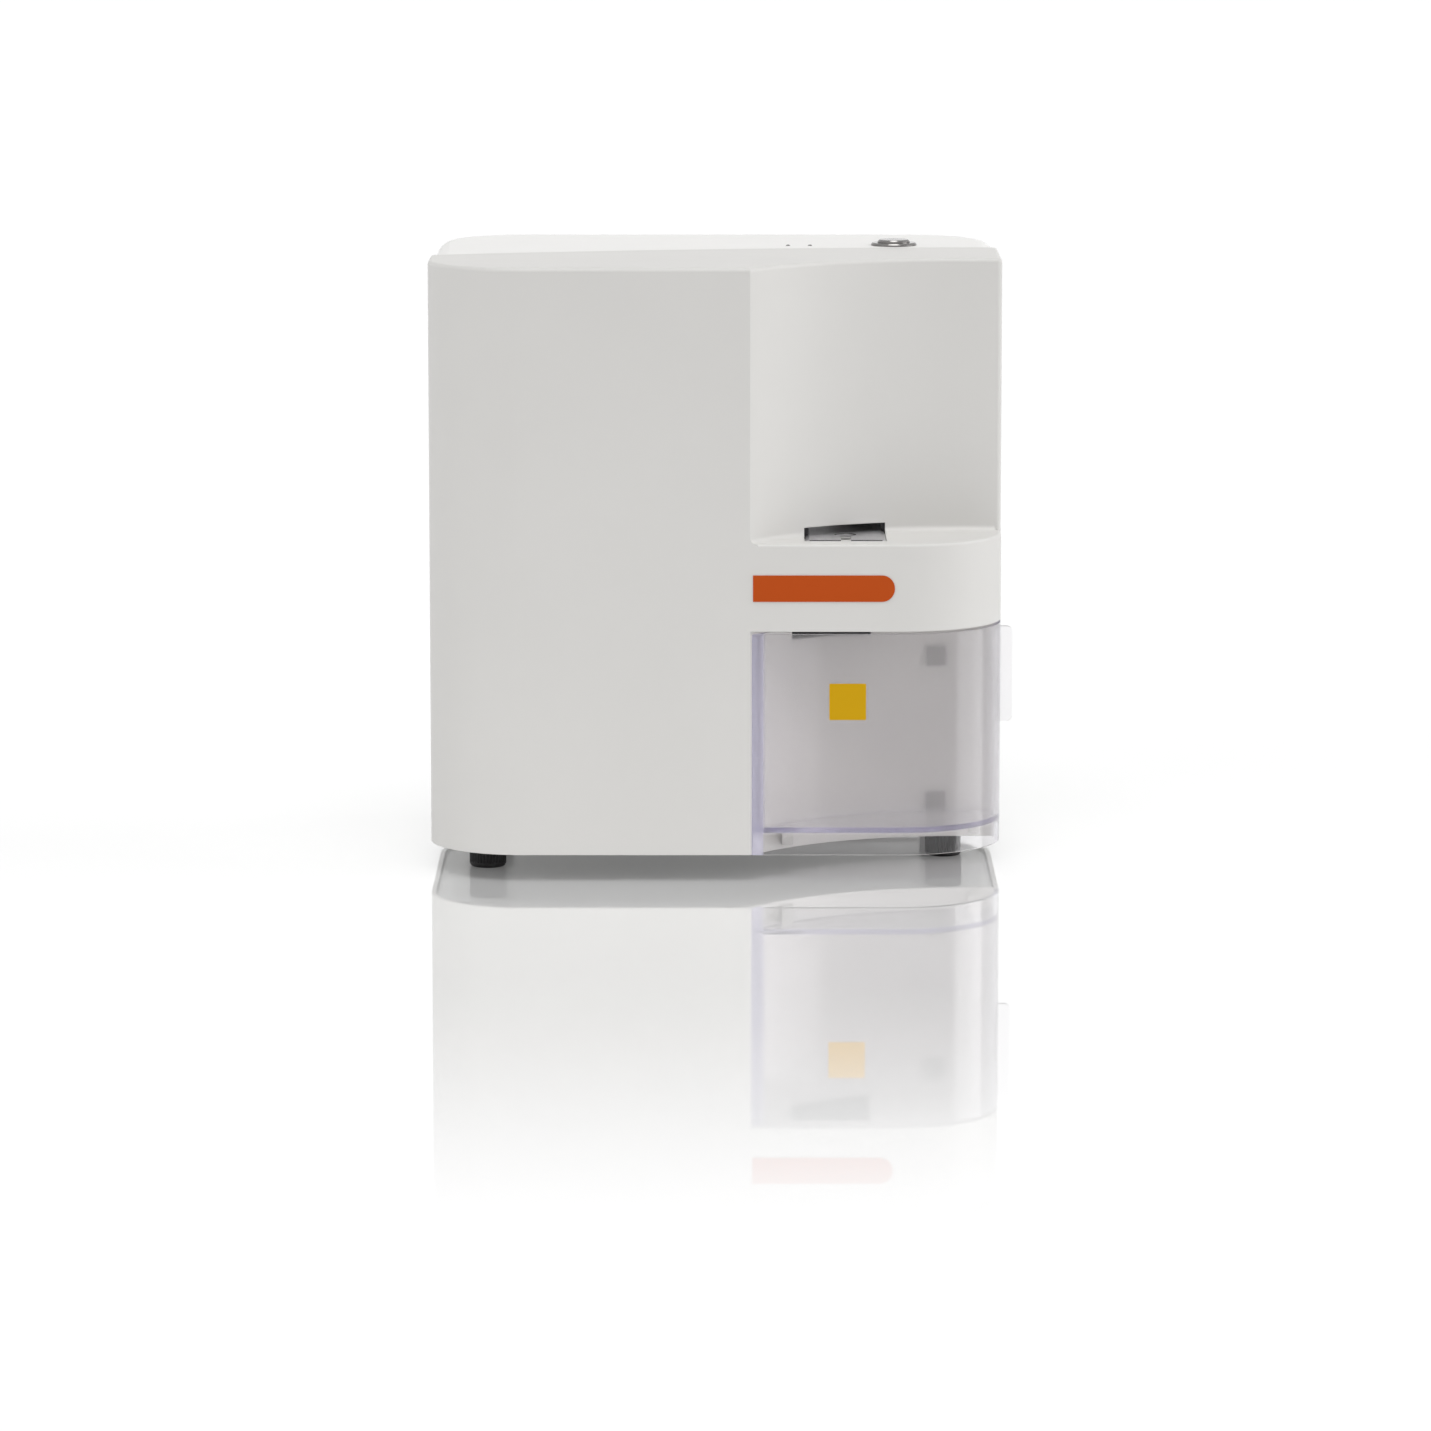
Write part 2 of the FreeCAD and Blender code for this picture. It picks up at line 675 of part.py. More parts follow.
def ledge_cove():
    """The round fillet between the concave wall and the top of the ledge."""
    near, high = SWEEP_R - LEDGE_COVE_R, LEDGE_TOP + LEDGE_COVE_R
    far, low = SWEEP_R + LEDGE_ROUND, LEDGE_TOP - LEDGE_ROUND
    bend = LEDGE_COVE_R * math.sin(math.pi / 4)
    start, end = V(near, 0, LEDGE_TOP), V(SWEEP_R, 0, high)
    curve = Part.Arc(start, V(near + bend, 0, high - bend), end).toShape()
    around = Part.makePolygon([end, V(far, 0, high), V(far, 0, low), V(near, 0, low), start])
    face = Part.Face(Part.Wire([curve] + around.Edges))
    face.rotate(V(0, 0, 0), V(0, 0, 1), 90)
    face.translate(V(SWEEP_X, SWEEP_Y, 0))
    bent = face.revolve(V(SWEEP_X, SWEEP_Y, 0), V(0, 0, 1), 90)
    straight = face.extrude(V(RIGHT - RECESS_EDGE_R - SWEEP_X, 0, 0))
    return fuse([bent, straight]).common(prism(ledge_outline(0), LEDGE_BOTTOM, high))


def front_shell():
    outer = prism(body_outline(0), LIFT, HEIGHT)
    outer = outer.makeFillet(FRONT_EDGE_R, front_edge(outer))
    outer = outer.makeFillet(FRONT_TOP_ROUND, top_edges(outer, HEIGHT))
    ledge = prism(ledge_outline(0), LEDGE_BOTTOM, LEDGE_TOP)
    ledge = ledge.makeFillet(LEDGE_ROUND, ledge_nose(ledge))
    inner = prism(body_outline(WALL), 0, INSIDE_TOP)
    hollow = prism(ledge_outline(WALL), LEDGE_BOTTOM + WALL, LEDGE_TOP - WALL)
    shell = cut(fuse([outer, ledge, ledge_cove()]), [inner, hollow, behind_seam(0)])
    shell = cut(shell, [tray_slot(), chute_mouth(), sensor_hole()])
    for z in (CATCH_UPPER_Z, CATCH_LOWER_Z):
        pocket = rod(0, 0, 0, MAGNET_T, MAGNET_R + RUN_GAP, V(0, 1, 0))
        shell = shell.cut(catch_place(pocket, z, WALL_Y))
    return fuse([shell, front_lip()] + bosses(FRONT_BOSSES))


def front_lip():
    """The stepped lip of the front shell that the rear cover slips over."""
    band = LIP_LENGTH
    outside = WALL + FIT_GAP
    inside = outside + LIP_WALL
    root = prism(body_outline(WALL - BOSS_SINK), BASE_TOP, HEIGHT - WALL + BOSS_SINK)
    root = root.common(behind_seam(-band)).cut(behind_seam(0))
    tongue = cover_block(outside, BASE_TOP).common(behind_seam(-band)).cut(behind_seam(band))
    lip = root.fuse(tongue).cut(cover_block(inside, 0))
    return lip.cut(rod(BUTTON_X, BUTTON_Y, BASE_TOP, HEIGHT, NUT_RIM_R + SLIDE_GAP))


# Rear cover
def cover_block(inset, bottom):
    """The rear cover's whole form, drawn in by inset, with its round top edges."""
    top = HEIGHT - inset
    form = prism(cover_outline(inset), bottom, top)
    rim = [edge for edge in top_edges(form, top) if edge.BoundBox.YMax > FRONT + FIT_GAP]
    return form.makeFillet(REAR_TOP_ROUND - inset, rim)


def rear_cover():
    cover = cover_block(0, LIFT).cut(cover_block(WALL, 0)).common(behind_seam(SEAM_GAP))
    window = rounded(PANEL_LEFT, PANEL_RIGHT, PANEL_WINDOW_BOTTOM, PANEL_TOP, PANEL_CORNER_R)
    button_hole = rod(BUTTON_X, BUTTON_Y, INSIDE_TOP, WALL, BUTTON_HOLE_R + FIT_GAP)
    tools = [upright(window, BACK - WALL, BACK), button_hole]
    for x in LENS_XS:
        tools.append(rod(x, LENS_Y, INSIDE_TOP, WALL, LENS_R + RUN_GAP))
    half = PANEL_RIGHT - LOUVRE_INSET
    for row in range(LOUVRES):
        z = HEIGHT - LOUVRE_DROP + row * LOUVRE_PITCH
        outline = rounded(-half, half, z, z + LOUVRE_HEIGHT, LOUVRE_HEIGHT / 2 - RUN_GAP)
        tools.append(upright(outline, BACK - WALL, BACK))
    return fuse([cut(cover, tools)] + bosses(REAR_BOSSES))


# Base plate, feet and their screws
def base_plate():
    plate = prism(body_outline(WALL + FIT_GAP), BASE_BOTTOM, BASE_TOP)
    holes = [rod(x, y, BASE_BOTTOM, BASE_T, SCREW_HOLE_R) for x, y in FRONT_BOSSES + REAR_BOSSES + FEET]
    return cut(plate, holes)


def foot(x, y):
    profile = [
        (FOOT_WELL_R, 0),
        (FOOT_TIP_R, 0),
        (FOOT_R, FOOT_CHAMFER),
        (FOOT_R, BASE_BOTTOM),
        (SCREW_HOLE_R, BASE_BOTTOM),
        (SCREW_HOLE_R, FOOT_WELL_DEPTH),
        (FOOT_WELL_R, FOOT_WELL_DEPTH),
    ]
    return turned(profile, x, y, 0)


def pan_screw(x, y, z, length, axis):
    """A screw whose head sits at (x, y, z) and whose shank runs along axis."""
    corners = []
    for step in range(HEXAGON + 1):
        angle = 2 * math.pi * step / HEXAGON
        corners.append(V(SCREW_SOCKET_R * math.cos(angle), SCREW_SOCKET_R * math.sin(angle), -SCREW_HEAD_H))
    socket = Part.Face(Part.makePolygon(corners)).extrude(V(0, 0, SCREW_HEAD_H / 2))
    head = rod(0, 0, -SCREW_HEAD_H, SCREW_HEAD_H, SCREW_HEAD_R).cut(socket)
    screw = head.fuse(rod(0, 0, 0, length, SCREW_R))
    screw.Placement = FreeCAD.Placement(V(x, y, z), FreeCAD.Rotation(V(0, 0, 1), axis))
    return screw


def screws(places, z, length):
    up = V(0, 0, 1)
    return Part.makeCompound([pan_screw(x, y, z, length, up) for x, y in places])


# Waste bin below the ledge, its ear, catches and brackets
def bin_outline(inset):
    """The bin's plan: flush front, round right corner, rear wall along the concave wall."""
    gap = -BIN_GAP - inset
    front, right = FRONT + inset, RIGHT - inset
    wall_y = WALL_Y + gap
    start = sweep_start(front, gap)
    corner = LEDGE_CORNER_R - inset
    around = [(start, front, 0), (right, front, corner), (right, wall_y, 0), (SWEEP_X, wall_y, 0)]
    return [sweep_arc(front, gap)] + path(around)


BIN_FLOOR_TOP = BIN_FLOOR_BOTTOM + BIN_FLOOR_T
BIN_BACK = WALL_Y - BIN_GAP


def waste_bin():
    outer = prism(bin_outline(0), LIFT, BIN_TOP)
    inside = prism(bin_outline(BIN_WALL), BIN_FLOOR_TOP, BIN_TOP)
    left, right, back = RECESS_X + BIN_TIP, RIGHT - BIN_WALL, WALL_Y + OVERRUN
    corner = LEDGE_CORNER_R - BIN_WALL
    front = FRONT + BIN_WALL
    around = [(left, back, 0), (left, front, 0), (right, front, corner), (right, back, 0), (left, back, 0)]
    under = prism(path(around), LIFT, BIN_FLOOR_BOTTOM)
    ear = rounded(RIGHT - LEDGE_CORNER_R / 2, RIGHT + EAR_REACH, EAR_BOTTOM, EAR_TOP, EAR_ROUND)
    ear = upright(ear, BIN_BACK - EAR_T, BIN_BACK)
    notch_left = CHUTE_LEFT - BIN_NOTCH_SIDE
    notch_right = CHUTE_RIGHT + BIN_NOTCH_SIDE
    notch_front = sweep_y(notch_left, -BIN_GAP - BIN_WALL) - OVERRUN
    notch = block(notch_left, notch_right, notch_front, WALL_Y, BIN_TOP - BIN_NOTCH_DROP, BIN_TOP)
    body = cut(outer, [inside, under])
    body = fuse([body, ear.cut(inside)])
    body = body.cut(notch)
    for z in (CATCH_UPPER_Z, CATCH_LOWER_Z):
        body = body.cut(strike_plate(z, RUN_GAP))
    return body


def strike_plate(z, gap):
    half = CATCH_SIZE / 2 + gap
    return catch_place(block(-half, half, -CATCH_T - gap, 0, -half, half), z, BIN_BACK)


def catches(make):
    return Part.makeCompound([make(z) for z in (CATCH_UPPER_Z, CATCH_LOWER_Z)])


def magnet(z):
    return catch_place(rod(0, 0, 0, MAGNET_T, MAGNET_R, V(0, 1, 0)), z, WALL_Y)


def bin_bracket(x):
    """A bracket on the concave wall, with a bevelled tip, that the bin's floor rests over."""
    left = x - SUPPORT_W / 2
    top = BIN_FLOOR_BOTTOM - SLIDE_GAP
    bottom = top - SUPPORT_H
    front, back = sweep_y(x) - SUPPORT_REACH, WALL_Y + WALL
    slope_back = front + SUPPORT_H
    side = [(front, top), (front, top - SUPPORT_TIP_H), (slope_back, bottom), (back, bottom), (back, top)]
    points = [V(left, y, z) for y, z in side]
    arm = Part.Face(Part.makePolygon(points + points[:1])).extrude(V(SUPPORT_W, 0, 0))
    return arm.cut(prism(body_outline(0), 0, BIN_FLOOR_BOTTOM))


def label():
    half = LABEL_SIZE / 2
    middle = RECESS_X + LABEL_INSET
    plate = rounded(middle - half, middle + half, LABEL_Z - half, LABEL_Z + half, LABEL_ROUND)
    return upright(plate, FRONT - LABEL_T, FRONT)


def name_strip():
    bottom = STRIP_TOP - STRIP_HEIGHT
    radius = STRIP_HEIGHT / 2 - RUN_GAP
    left = RECESS_X + STRIP_INSET
    right = left + STRIP_LENGTH
    start = (left, bottom, 0)
    corners = [(right, bottom, radius), (right, STRIP_TOP, radius), (left, STRIP_TOP, 0)]
    return upright(path([start] + corners + [start]), FRONT - STRIP_T, FRONT)


# Loading tray, its nut, and the rails it runs in
def loading_tray():
    """A plate with a keyhole from its front edge, and the arm that the nut sits in."""
    plate = block(TRAY_LEFT, TRAY_RIGHT, TRAY_FRONT, TRAY_BACK, TRAY_BOTTOM, LEDGE_TOP)
    half = TRAY_NOTCH_W / 2
    hole_y = TRAY_FRONT + TRAY_HOLE_DEPTH
    notch = block(TRAY_MIDDLE - half, TRAY_MIDDLE + half, TRAY_FRONT, hole_y, TRAY_BOTTOM, LEDGE_TOP)
    plate = cut(plate, [rod(TRAY_MIDDLE, hole_y, TRAY_BOTTOM, TRAY_T, TRAY_HOLE_R), notch])
    tab_right = TRAY_RIGHT - RAIL_BITE - SLIDE_GAP
    arm_z = SHUTTLE_TOP + NUT_ARM_RISE
    tab = block(tab_right - NUT_ARM_T, tab_right, NUT_Y, NUT_Y + NUT_LENGTH, arm_z, TRAY_BOTTOM)
    arm = block(tab_right - NUT_ARM_T, SCREW_DRIVE_X, NUT_Y, NUT_Y + NUT_LENGTH, arm_z, arm_z + NUT_ARM_T)
    bore = rod(SCREW_DRIVE_X, NUT_Y, SCREW_DRIVE_Z, NUT_LENGTH, NUT_R, V(0, 1, 0))
    return fuse([plate, tab, arm]).cut(bore)


def tray_nut():
    along = V(0, 1, 0)
    nut = rod(SCREW_DRIVE_X, NUT_Y, SCREW_DRIVE_Z, NUT_LENGTH, NUT_R, along)
    bore = rod(SCREW_DRIVE_X, NUT_Y, SCREW_DRIVE_Z, NUT_LENGTH, SCREW_DRIVE_R + RUN_GAP, along)
    return nut.cut(bore)


def tray_rail(edge_x, side):
    """A grooved rail; side is +1 where the rail lies to the right of the tray's edge."""
    near = edge_x - side * RAIL_BITE
    far = near + side * RAIL_W
    x0, x1 = min(near, far), max(near, far)
    middle = (TRAY_BOTTOM + LEDGE_TOP) / 2
    z0, z1 = middle - RAIL_HEIGHT / 2, middle + RAIL_HEIGHT / 2
    front = max(sweep_y(x0, WALL), sweep_y(x1, WALL)) + RAIL_WALL_GAP
    rail = block(x0, x1, front, RAIL_END, z0, z1)
    legs = []
    for start in (front, RAIL_END - RAIL_LEG_LENGTH):
        legs.append(block(x0, x1, start, start + RAIL_LEG_LENGTH, DECK_TOP, z0))
    groove = sorted((edge_x + side * SLIDE_GAP, near - side * OVERRUN))
    low, high = TRAY_BOTTOM - SLIDE_GAP, LEDGE_TOP + SLIDE_GAP
    return fuse([rail] + legs).cut(block(*groove, front, RAIL_END, low, high))


# Stepper motors
def stepper(x, y, z, axis, shaft_r):
    """A square body with broken edges, behind its face at (x, y, z), with a bore for a shaft."""
    half = MOTOR_SIZE / 2
    body = block(-half, half, -half, half, -MOTOR_LENGTH, 0)
    sides = [edge for edge in body.Edges if edge.BoundBox.ZLength > MOTOR_LENGTH / 2]
    body = body.makeChamfer(MOTOR_EDGE, sides)
    body = body.cut(rod(0, 0, -PULLEY_SHAFT_DEPTH, PULLEY_SHAFT_DEPTH, shaft_r + RUN_GAP))
    body.Placement = FreeCAD.Placement(V(x, y, z), FreeCAD.Rotation(V(0, 0, 1), axis))
    return body


# Deck, posts and chute
def deck_plate():
    plate = prism(body_outline(DECK_SETBACK), DECK_Z, DECK_TOP)
    rotor_hole = rod(BOWL_X, BOWL_Y, DECK_Z, DECK_T, ROTOR_SHAFT_R * 2)
    pulley_hole = rod(PULLEY_LEFT_X, BELT_Y, DECK_Z, DECK_T, PULLEY_R)
    left, right = CHUTE_LEFT - SLIDE_GAP, CHUTE_RIGHT + SLIDE_GAP
    chute_cut = block(left, right, FRONT, CHUTE_TOP_Y - CHUTE_T * 2, DECK_Z, DECK_TOP)
    return cut(plate, [rotor_hole, pulley_hole, chute_cut])


def deck_posts():
    posts = []
    for x, y in FEET:
        post = rod(x, y, BASE_TOP, DECK_Z - BASE_TOP, POST_R)
        posts.append(post.cut(rod(x, y, BASE_TOP, SCREW_LENGTH + BASE_T, SCREW_HOLE_R)))
    return Part.makeCompound(posts)


def waste_chute():
    """A folded sheet slide: sloping floor, two sides, and a foot that rests on the deck."""
    lip, top = V(0, CHUTE_LIP_Y, CHUTE_LIP_Z), V(0, CHUTE_TOP_Y, CHUTE_TOP_Z)

    def strip(x0, x1, rise):
        up = V(0, 0, rise)
        face = Part.Face(Part.makePolygon([lip, top, top + up, lip + up, lip]))
        face.translate(V(x0, 0, 0))
        return face.extrude(V(x1 - x0, 0, 0))

    floor = strip(CHUTE_LEFT, CHUTE_RIGHT, CHUTE_T)
    left_side = strip(CHUTE_LEFT, CHUTE_LEFT + CHUTE_T, CHUTE_SIDE_H)
    right_side = strip(CHUTE_RIGHT - CHUTE_T, CHUTE_RIGHT, CHUTE_SIDE_H)
    leg_y = CHUTE_TOP_Y - CHUTE_T
    leg = block(CHUTE_LEFT, CHUTE_RIGHT, leg_y, CHUTE_TOP_Y, DECK_TOP, CHUTE_TOP_Z + CHUTE_T)
    flange_back = CHUTE_TOP_Y + CHUTE_SIDE_H
    flange = block(CHUTE_LEFT, CHUTE_RIGHT, leg_y, flange_back, DECK_TOP, DECK_TOP + CHUTE_T)
    return fuse([floor, left_side, right_side, leg, flange])


# Centrifuge: bowl on the deck, motor under it, rotor on its shaft
def centrifuge_bowl():
    top = DECK_TOP + BOWL_H
    profile = [
        (ROTOR_SHAFT_R * 2, DECK_TOP),
        (BOWL_R - BOWL_T, DECK_TOP),
        (BOWL_R, DECK_TOP + BOWL_T),
        (BOWL_R, top - BOWL_T),
        (BOWL_R + BOWL_RIM, top - BOWL_T),
        (BOWL_R + BOWL_RIM, top),
        (BOWL_R - BOWL_T, top),
        (BOWL_R - BOWL_T, DECK_TOP + BOWL_T * 2),
        (BOWL_R - BOWL_T * 2, DECK_TOP + BOWL_T),
        (ROTOR_SHAFT_R * 2, DECK_TOP + BOWL_T),
    ]
    return turned(profile, BOWL_X, BOWL_Y, 0)


def rotor_motor():
    body = rod(BOWL_X, BOWL_Y, DECK_Z - ROTOR_MOTOR_H, ROTOR_MOTOR_H, ROTOR_MOTOR_R)
    rings = [edge for edge in body.Edges if edge.BoundBox.ZLength < FIT_GAP]
    body = body.makeChamfer(MOTOR_EDGE / 2, rings)
    bore = rod(BOWL_X, BOWL_Y, ROTOR_Z - ROTOR_SHAFT_LENGTH, ROTOR_SHAFT_LENGTH, ROTOR_SHAFT_R + RUN_GAP)
    return body.cut(bore)


def rotor():
    disc = rod(BOWL_X, BOWL_Y, ROTOR_Z, ROTOR_T, ROTOR_R)
    hub = rod(BOWL_X, BOWL_Y, ROTOR_Z, ROTOR_HUB_H, ROTOR_HUB_R)
    shaft_bottom = ROTOR_Z - ROTOR_SHAFT_LENGTH + SLIDE_GAP
    shaft = rod(BOWL_X, BOWL_Y, shaft_bottom, ROTOR_SHAFT_LENGTH, ROTOR_SHAFT_R)
    whole = fuse([disc, hub, shaft])
    for step in range(ROTOR_HOLES):
        angle = 2 * math.pi * step / ROTOR_HOLES
        x = BOWL_X + ROTOR_R * ROTOR_PITCH_SHARE * math.cos(angle)
        y = BOWL_Y + ROTOR_R * ROTOR_PITCH_SHARE * math.sin(angle)
        whole = whole.cut(rod(x, y, ROTOR_Z, ROTOR_T, ROTOR_R * ROTOR_HOLE_SHARE))
    return whole


# Shuttle on its two rods, with the belt drive in front of it
def shuttle():
    left, right = TRAY_MIDDLE - SHUTTLE_WIDTH / 2, TRAY_MIDDLE + SHUTTLE_WIDTH / 2
    plate_z = SHUTTLE_TOP - SHUTTLE_PLATE_T

    def plate(inset, bottom):
        front, back = SHUTTLE_FRONT + inset, SHUTTLE_BACK - inset
        return block(left + inset, right - inset, front, back, bottom, SHUTTLE_TOP)

    margin = SHUTTLE_NEST_MARGIN
    nest = plate(margin, SHUTTLE_TOP - SHUTTLE_NEST_DEPTH)
    window = plate(margin * 2, plate_z)
    clamp_front = BELT_Y + PULLEY_R + BELT_T + SLIDE_GAP * 2
    clamp_left, clamp_right = TRAY_MIDDLE - margin, TRAY_MIDDLE + margin
    pieces = [cut(plate(0, plate_z), [nest, window])]
    pieces.append(block(clamp_left, clamp_right, clamp_front, SHUTTLE_FRONT, BELT_Z, SHUTTLE_TOP))
    bores = []
    for y in ROD_YS:
        front, back = y - SHUTTLE_BEARING / 2, y + SHUTTLE_BEARING / 2
        pieces.append(block(left, right, front, back, SHUTTLE_BOTTOM, plate_z))
        bores.append(rod(left, y, ROD_Z, SHUTTLE_WIDTH, ROD_R + RUN_GAP, V(1, 0, 0)))
    return cut(fuse(pieces), bores)


def shuttle_rods():
    length = ROD_RIGHT_X - ROD_LEFT_X
    return Part.makeCompound([rod(ROD_LEFT_X, y, ROD_Z, length, ROD_R, V(1, 0, 0)) for y in ROD_YS])


def rod_blocks():
    blocks = []
    for x in (ROD_LEFT_X, ROD_RIGHT_X - ROD_BLOCK_W):
        for y in ROD_YS:
            front, back = y - ROD_BLOCK_W / 2, y + ROD_BLOCK_W / 2
            holder = block(x, x + ROD_BLOCK_W, front, back, DECK_TOP, DECK_TOP + ROD_BLOCK_H)
            blocks.append(holder.cut(rod(x, y, ROD_Z, ROD_BLOCK_W, ROD_R, V(1, 0, 0))))
    return Part.makeCompound(blocks)


def pulley(x, shaft_bottom):
    low = BELT_Z - PULLEY_FLANGE_T
    wheel = rod(x, BELT_Y, low, BELT_H + PULLEY_FLANGE_T * 2, PULLEY_R)
    flanges = [rod(x, BELT_Y, z, PULLEY_FLANGE_T, PULLEY_FLANGE_R) for z in (low, BELT_Z + BELT_H)]
    shaft = rod(x, BELT_Y, shaft_bottom, low - shaft_bottom, PULLEY_SHAFT_R)
    return fuse([wheel] + flanges + [shaft])


def belt():
    def loop(radius):
        left, right = PULLEY_LEFT_X - radius, PULLEY_RIGHT_X + radius
        outline = rounded(left, right, BELT_Y - radius, BELT_Y + radius, radius - RUN_GAP)
        return prism(outline, BELT_Z + SLIDE_GAP, BELT_Z + BELT_H - SLIDE_GAP)

    inside = PULLEY_R + SLIDE_GAP
    return loop(inside + BELT_T).cut(loop(inside))


def idler_bush():
    height = BELT_Z - PULLEY_FLANGE_T - SLIDE_GAP - DECK_TOP
    bush = rod(PULLEY_RIGHT_X, BELT_Y, DECK_TOP, height, PULLEY_R)
    return bush.cut(rod(PULLEY_RIGHT_X, BELT_Y, DECK_TOP, BELT_H, PULLEY_SHAFT_R + RUN_GAP))


# Tray drive
def tray_screw():
    start = NUT_Y - NUT_LENGTH
    length = RAIL_END + PULLEY_SHAFT_DEPTH - SLIDE_GAP - start
    return rod(SCREW_DRIVE_X, start, SCREW_DRIVE_Z, length, SCREW_DRIVE_R, V(0, 1, 0))


def tray_motor():
    return stepper(SCREW_DRIVE_X, RAIL_END, SCREW_DRIVE_Z, V(0, -1, 0), SCREW_DRIVE_R)


def motor_stand():
    half = MOTOR_SIZE / 2
    x0, x1 = SCREW_DRIVE_X - half, SCREW_DRIVE_X + half
    return block(x0, x1, RAIL_END, RAIL_END + MOTOR_LENGTH, DECK_TOP, SCREW_DRIVE_Z - half)


# Microscope: frame, focus slide with objective and camera, screw and motor, lamp below
def microscope_frame():
    def plate(front, bottom, top):
        return block(SCOPE_LEFT, SCOPE_RIGHT, front, SCOPE_BACK, bottom, top)

    column = plate(SCOPE_FACE, DECK_TOP, SCOPE_TOP)
    flange = plate(FOCUS_SCREW_Y - MOTOR_SIZE / 2, SCOPE_TOP - SCOPE_FLANGE_T, SCOPE_TOP)
    foot_plate = plate(SCOPE_FACE - SCOPE_FOOT_LENGTH, DECK_TOP, DECK_TOP + SCOPE_FOOT_T)
    low, high = DECK_TOP + SCOPE_T * 2, FOCUS_BLOCK_BOTTOM - SCOPE_T
    window = rounded(SCOPE_LEFT + SCOPE_T, SCOPE_RIGHT - SCOPE_T, low, high, SCOPE_T / 2)
    hole = rod(SCOPE_X, FOCUS_SCREW_Y, SCOPE_TOP - SCOPE_FLANGE_T, SCOPE_FLANGE_T, FOCUS_SCREW_R * 2)
    return cut(fuse([column, flange, foot_plate]), [upright(window, SCOPE_FACE, SCOPE_BACK), hole])


def focus_slide():
    half = (SCOPE_WIDTH - SCOPE_T) / 2
    left, right = SCOPE_X - half, SCOPE_X + half
    bottom, height = FOCUS_BLOCK_BOTTOM, FOCUS_BLOCK_TOP - FOCUS_BLOCK_BOTTOM
    body = block(left, right, FOCUS_BACK - FOCUS_BLOCK_T, FOCUS_BACK, bottom, bottom + height)
    arm = block(left, right, SCOPE_Y, FOCUS_BACK, bottom, bottom + FOCUS_ARM_T)
    nose = rod(SCOPE_X, SCOPE_Y, bottom, FOCUS_ARM_T, half)
    bore = rod(SCOPE_X, FOCUS_SCREW_Y, bottom, height, FOCUS_SCREW_R + RUN_GAP)
    seat = rod(SCOPE_X, SCOPE_Y, bottom, FOCUS_ARM_T, CAMERA_TUBE_R)
    return cut(fuse([body, arm, nose]), [bore, seat])


def objective():
    top = FOCUS_BLOCK_BOTTOM
    tip = SHUTTLE_TOP + OBJECTIVE_CLEARANCE
    steps = [tip + (top - tip) * share for share in OBJECTIVE_STEP_SHARES]
    profile = [
        (0, tip),
        (OBJECTIVE_TIP_R, tip),
        (OBJECTIVE_TIP_R, steps[0]),
        (OBJECTIVE_NECK_R, steps[1]),
        (OBJECTIVE_NECK_R, steps[2]),
        (OBJECTIVE_R, steps[3]),
        (OBJECTIVE_R, top),
        (0, top),
    ]
    return turned(profile, SCOPE_X, SCOPE_Y, 0)


def camera():
    tube_top = FOCUS_BLOCK_BOTTOM + FOCUS_ARM_T + FOCUS_ARM_T / 2
    tube = rod(SCOPE_X, SCOPE_Y, FOCUS_BLOCK_BOTTOM, tube_top - FOCUS_BLOCK_BOTTOM, CAMERA_TUBE_R)
    half = CAMERA_SIZE / 2
    back = min(SCOPE_Y + half, FOCUS_BACK - FOCUS_BLOCK_T - SLIDE_GAP)
    left, right = SCOPE_X - half, SCOPE_X + half
    box = block(left, right, SCOPE_Y - half, back, tube_top, tube_top + CAMERA_HEIGHT)
    return fuse([tube, box])


def focus_screw():
    bottom = FOCUS_BLOCK_BOTTOM - FOCUS_DOWN - FOCUS_ARM_T / 2
    top = SCOPE_TOP + PULLEY_SHAFT_DEPTH
    return rod(SCOPE_X, FOCUS_SCREW_Y, bottom, top - bottom - SLIDE_GAP, FOCUS_SCREW_R)


def focus_motor():
    return stepper(SCOPE_X, FOCUS_SCREW_Y, SCOPE_TOP, V(0, 0, -1), FOCUS_SCREW_R)


def condenser_lamp():
    lamp = rod(SCOPE_X, SCOPE_Y, DECK_TOP, CONDENSER_H, CONDENSER_R)
    centre = V(SCOPE_X, SCOPE_Y, DECK_TOP + CONDENSER_H - CONDENSER_LENS_R / 2)
    return lamp.fuse(Part.makeSphere(CONDENSER_LENS_R, centre))


# Push button and status lenses
CAP_BOTTOM = HEIGHT + BUTTON_RING_H + BUTTON_CAP_RISE - BUTTON_CAP_T


def button_housing():
    profile = [
        (BUTTON_CAP_R + SLIDE_GAP, HEIGHT + BUTTON_RING_H),
        (BUTTON_RING_R - BUTTON_RING_H / 2, HEIGHT + BUTTON_RING_H),
        (BUTTON_RING_R, HEIGHT + BUTTON_RING_H / 2),
        (BUTTON_RING_R, HEIGHT),
        (BUTTON_HOLE_R, HEIGHT),
        (BUTTON_HOLE_R, HEIGHT - BUTTON_BODY_LENGTH),
        (BUTTON_STEM_R + RUN_GAP, HEIGHT - BUTTON_BODY_LENGTH),
        (BUTTON_STEM_R + RUN_GAP, CAP_BOTTOM - BUTTON_TRAVEL - SLIDE_GAP),
        (BUTTON_CAP_R + SLIDE_GAP, CAP_BOTTOM - BUTTON_TRAVEL - SLIDE_GAP),
    ]
    return turned(profile, BUTTON_X, BUTTON_Y, 0)


def button_nut():
    nut = rod(BUTTON_X, BUTTON_Y, INSIDE_TOP - WALL, WALL, NUT_RIM_R)
    return nut.cut(rod(BUTTON_X, BUTTON_Y, INSIDE_TOP - WALL, WALL, BUTTON_HOLE_R))


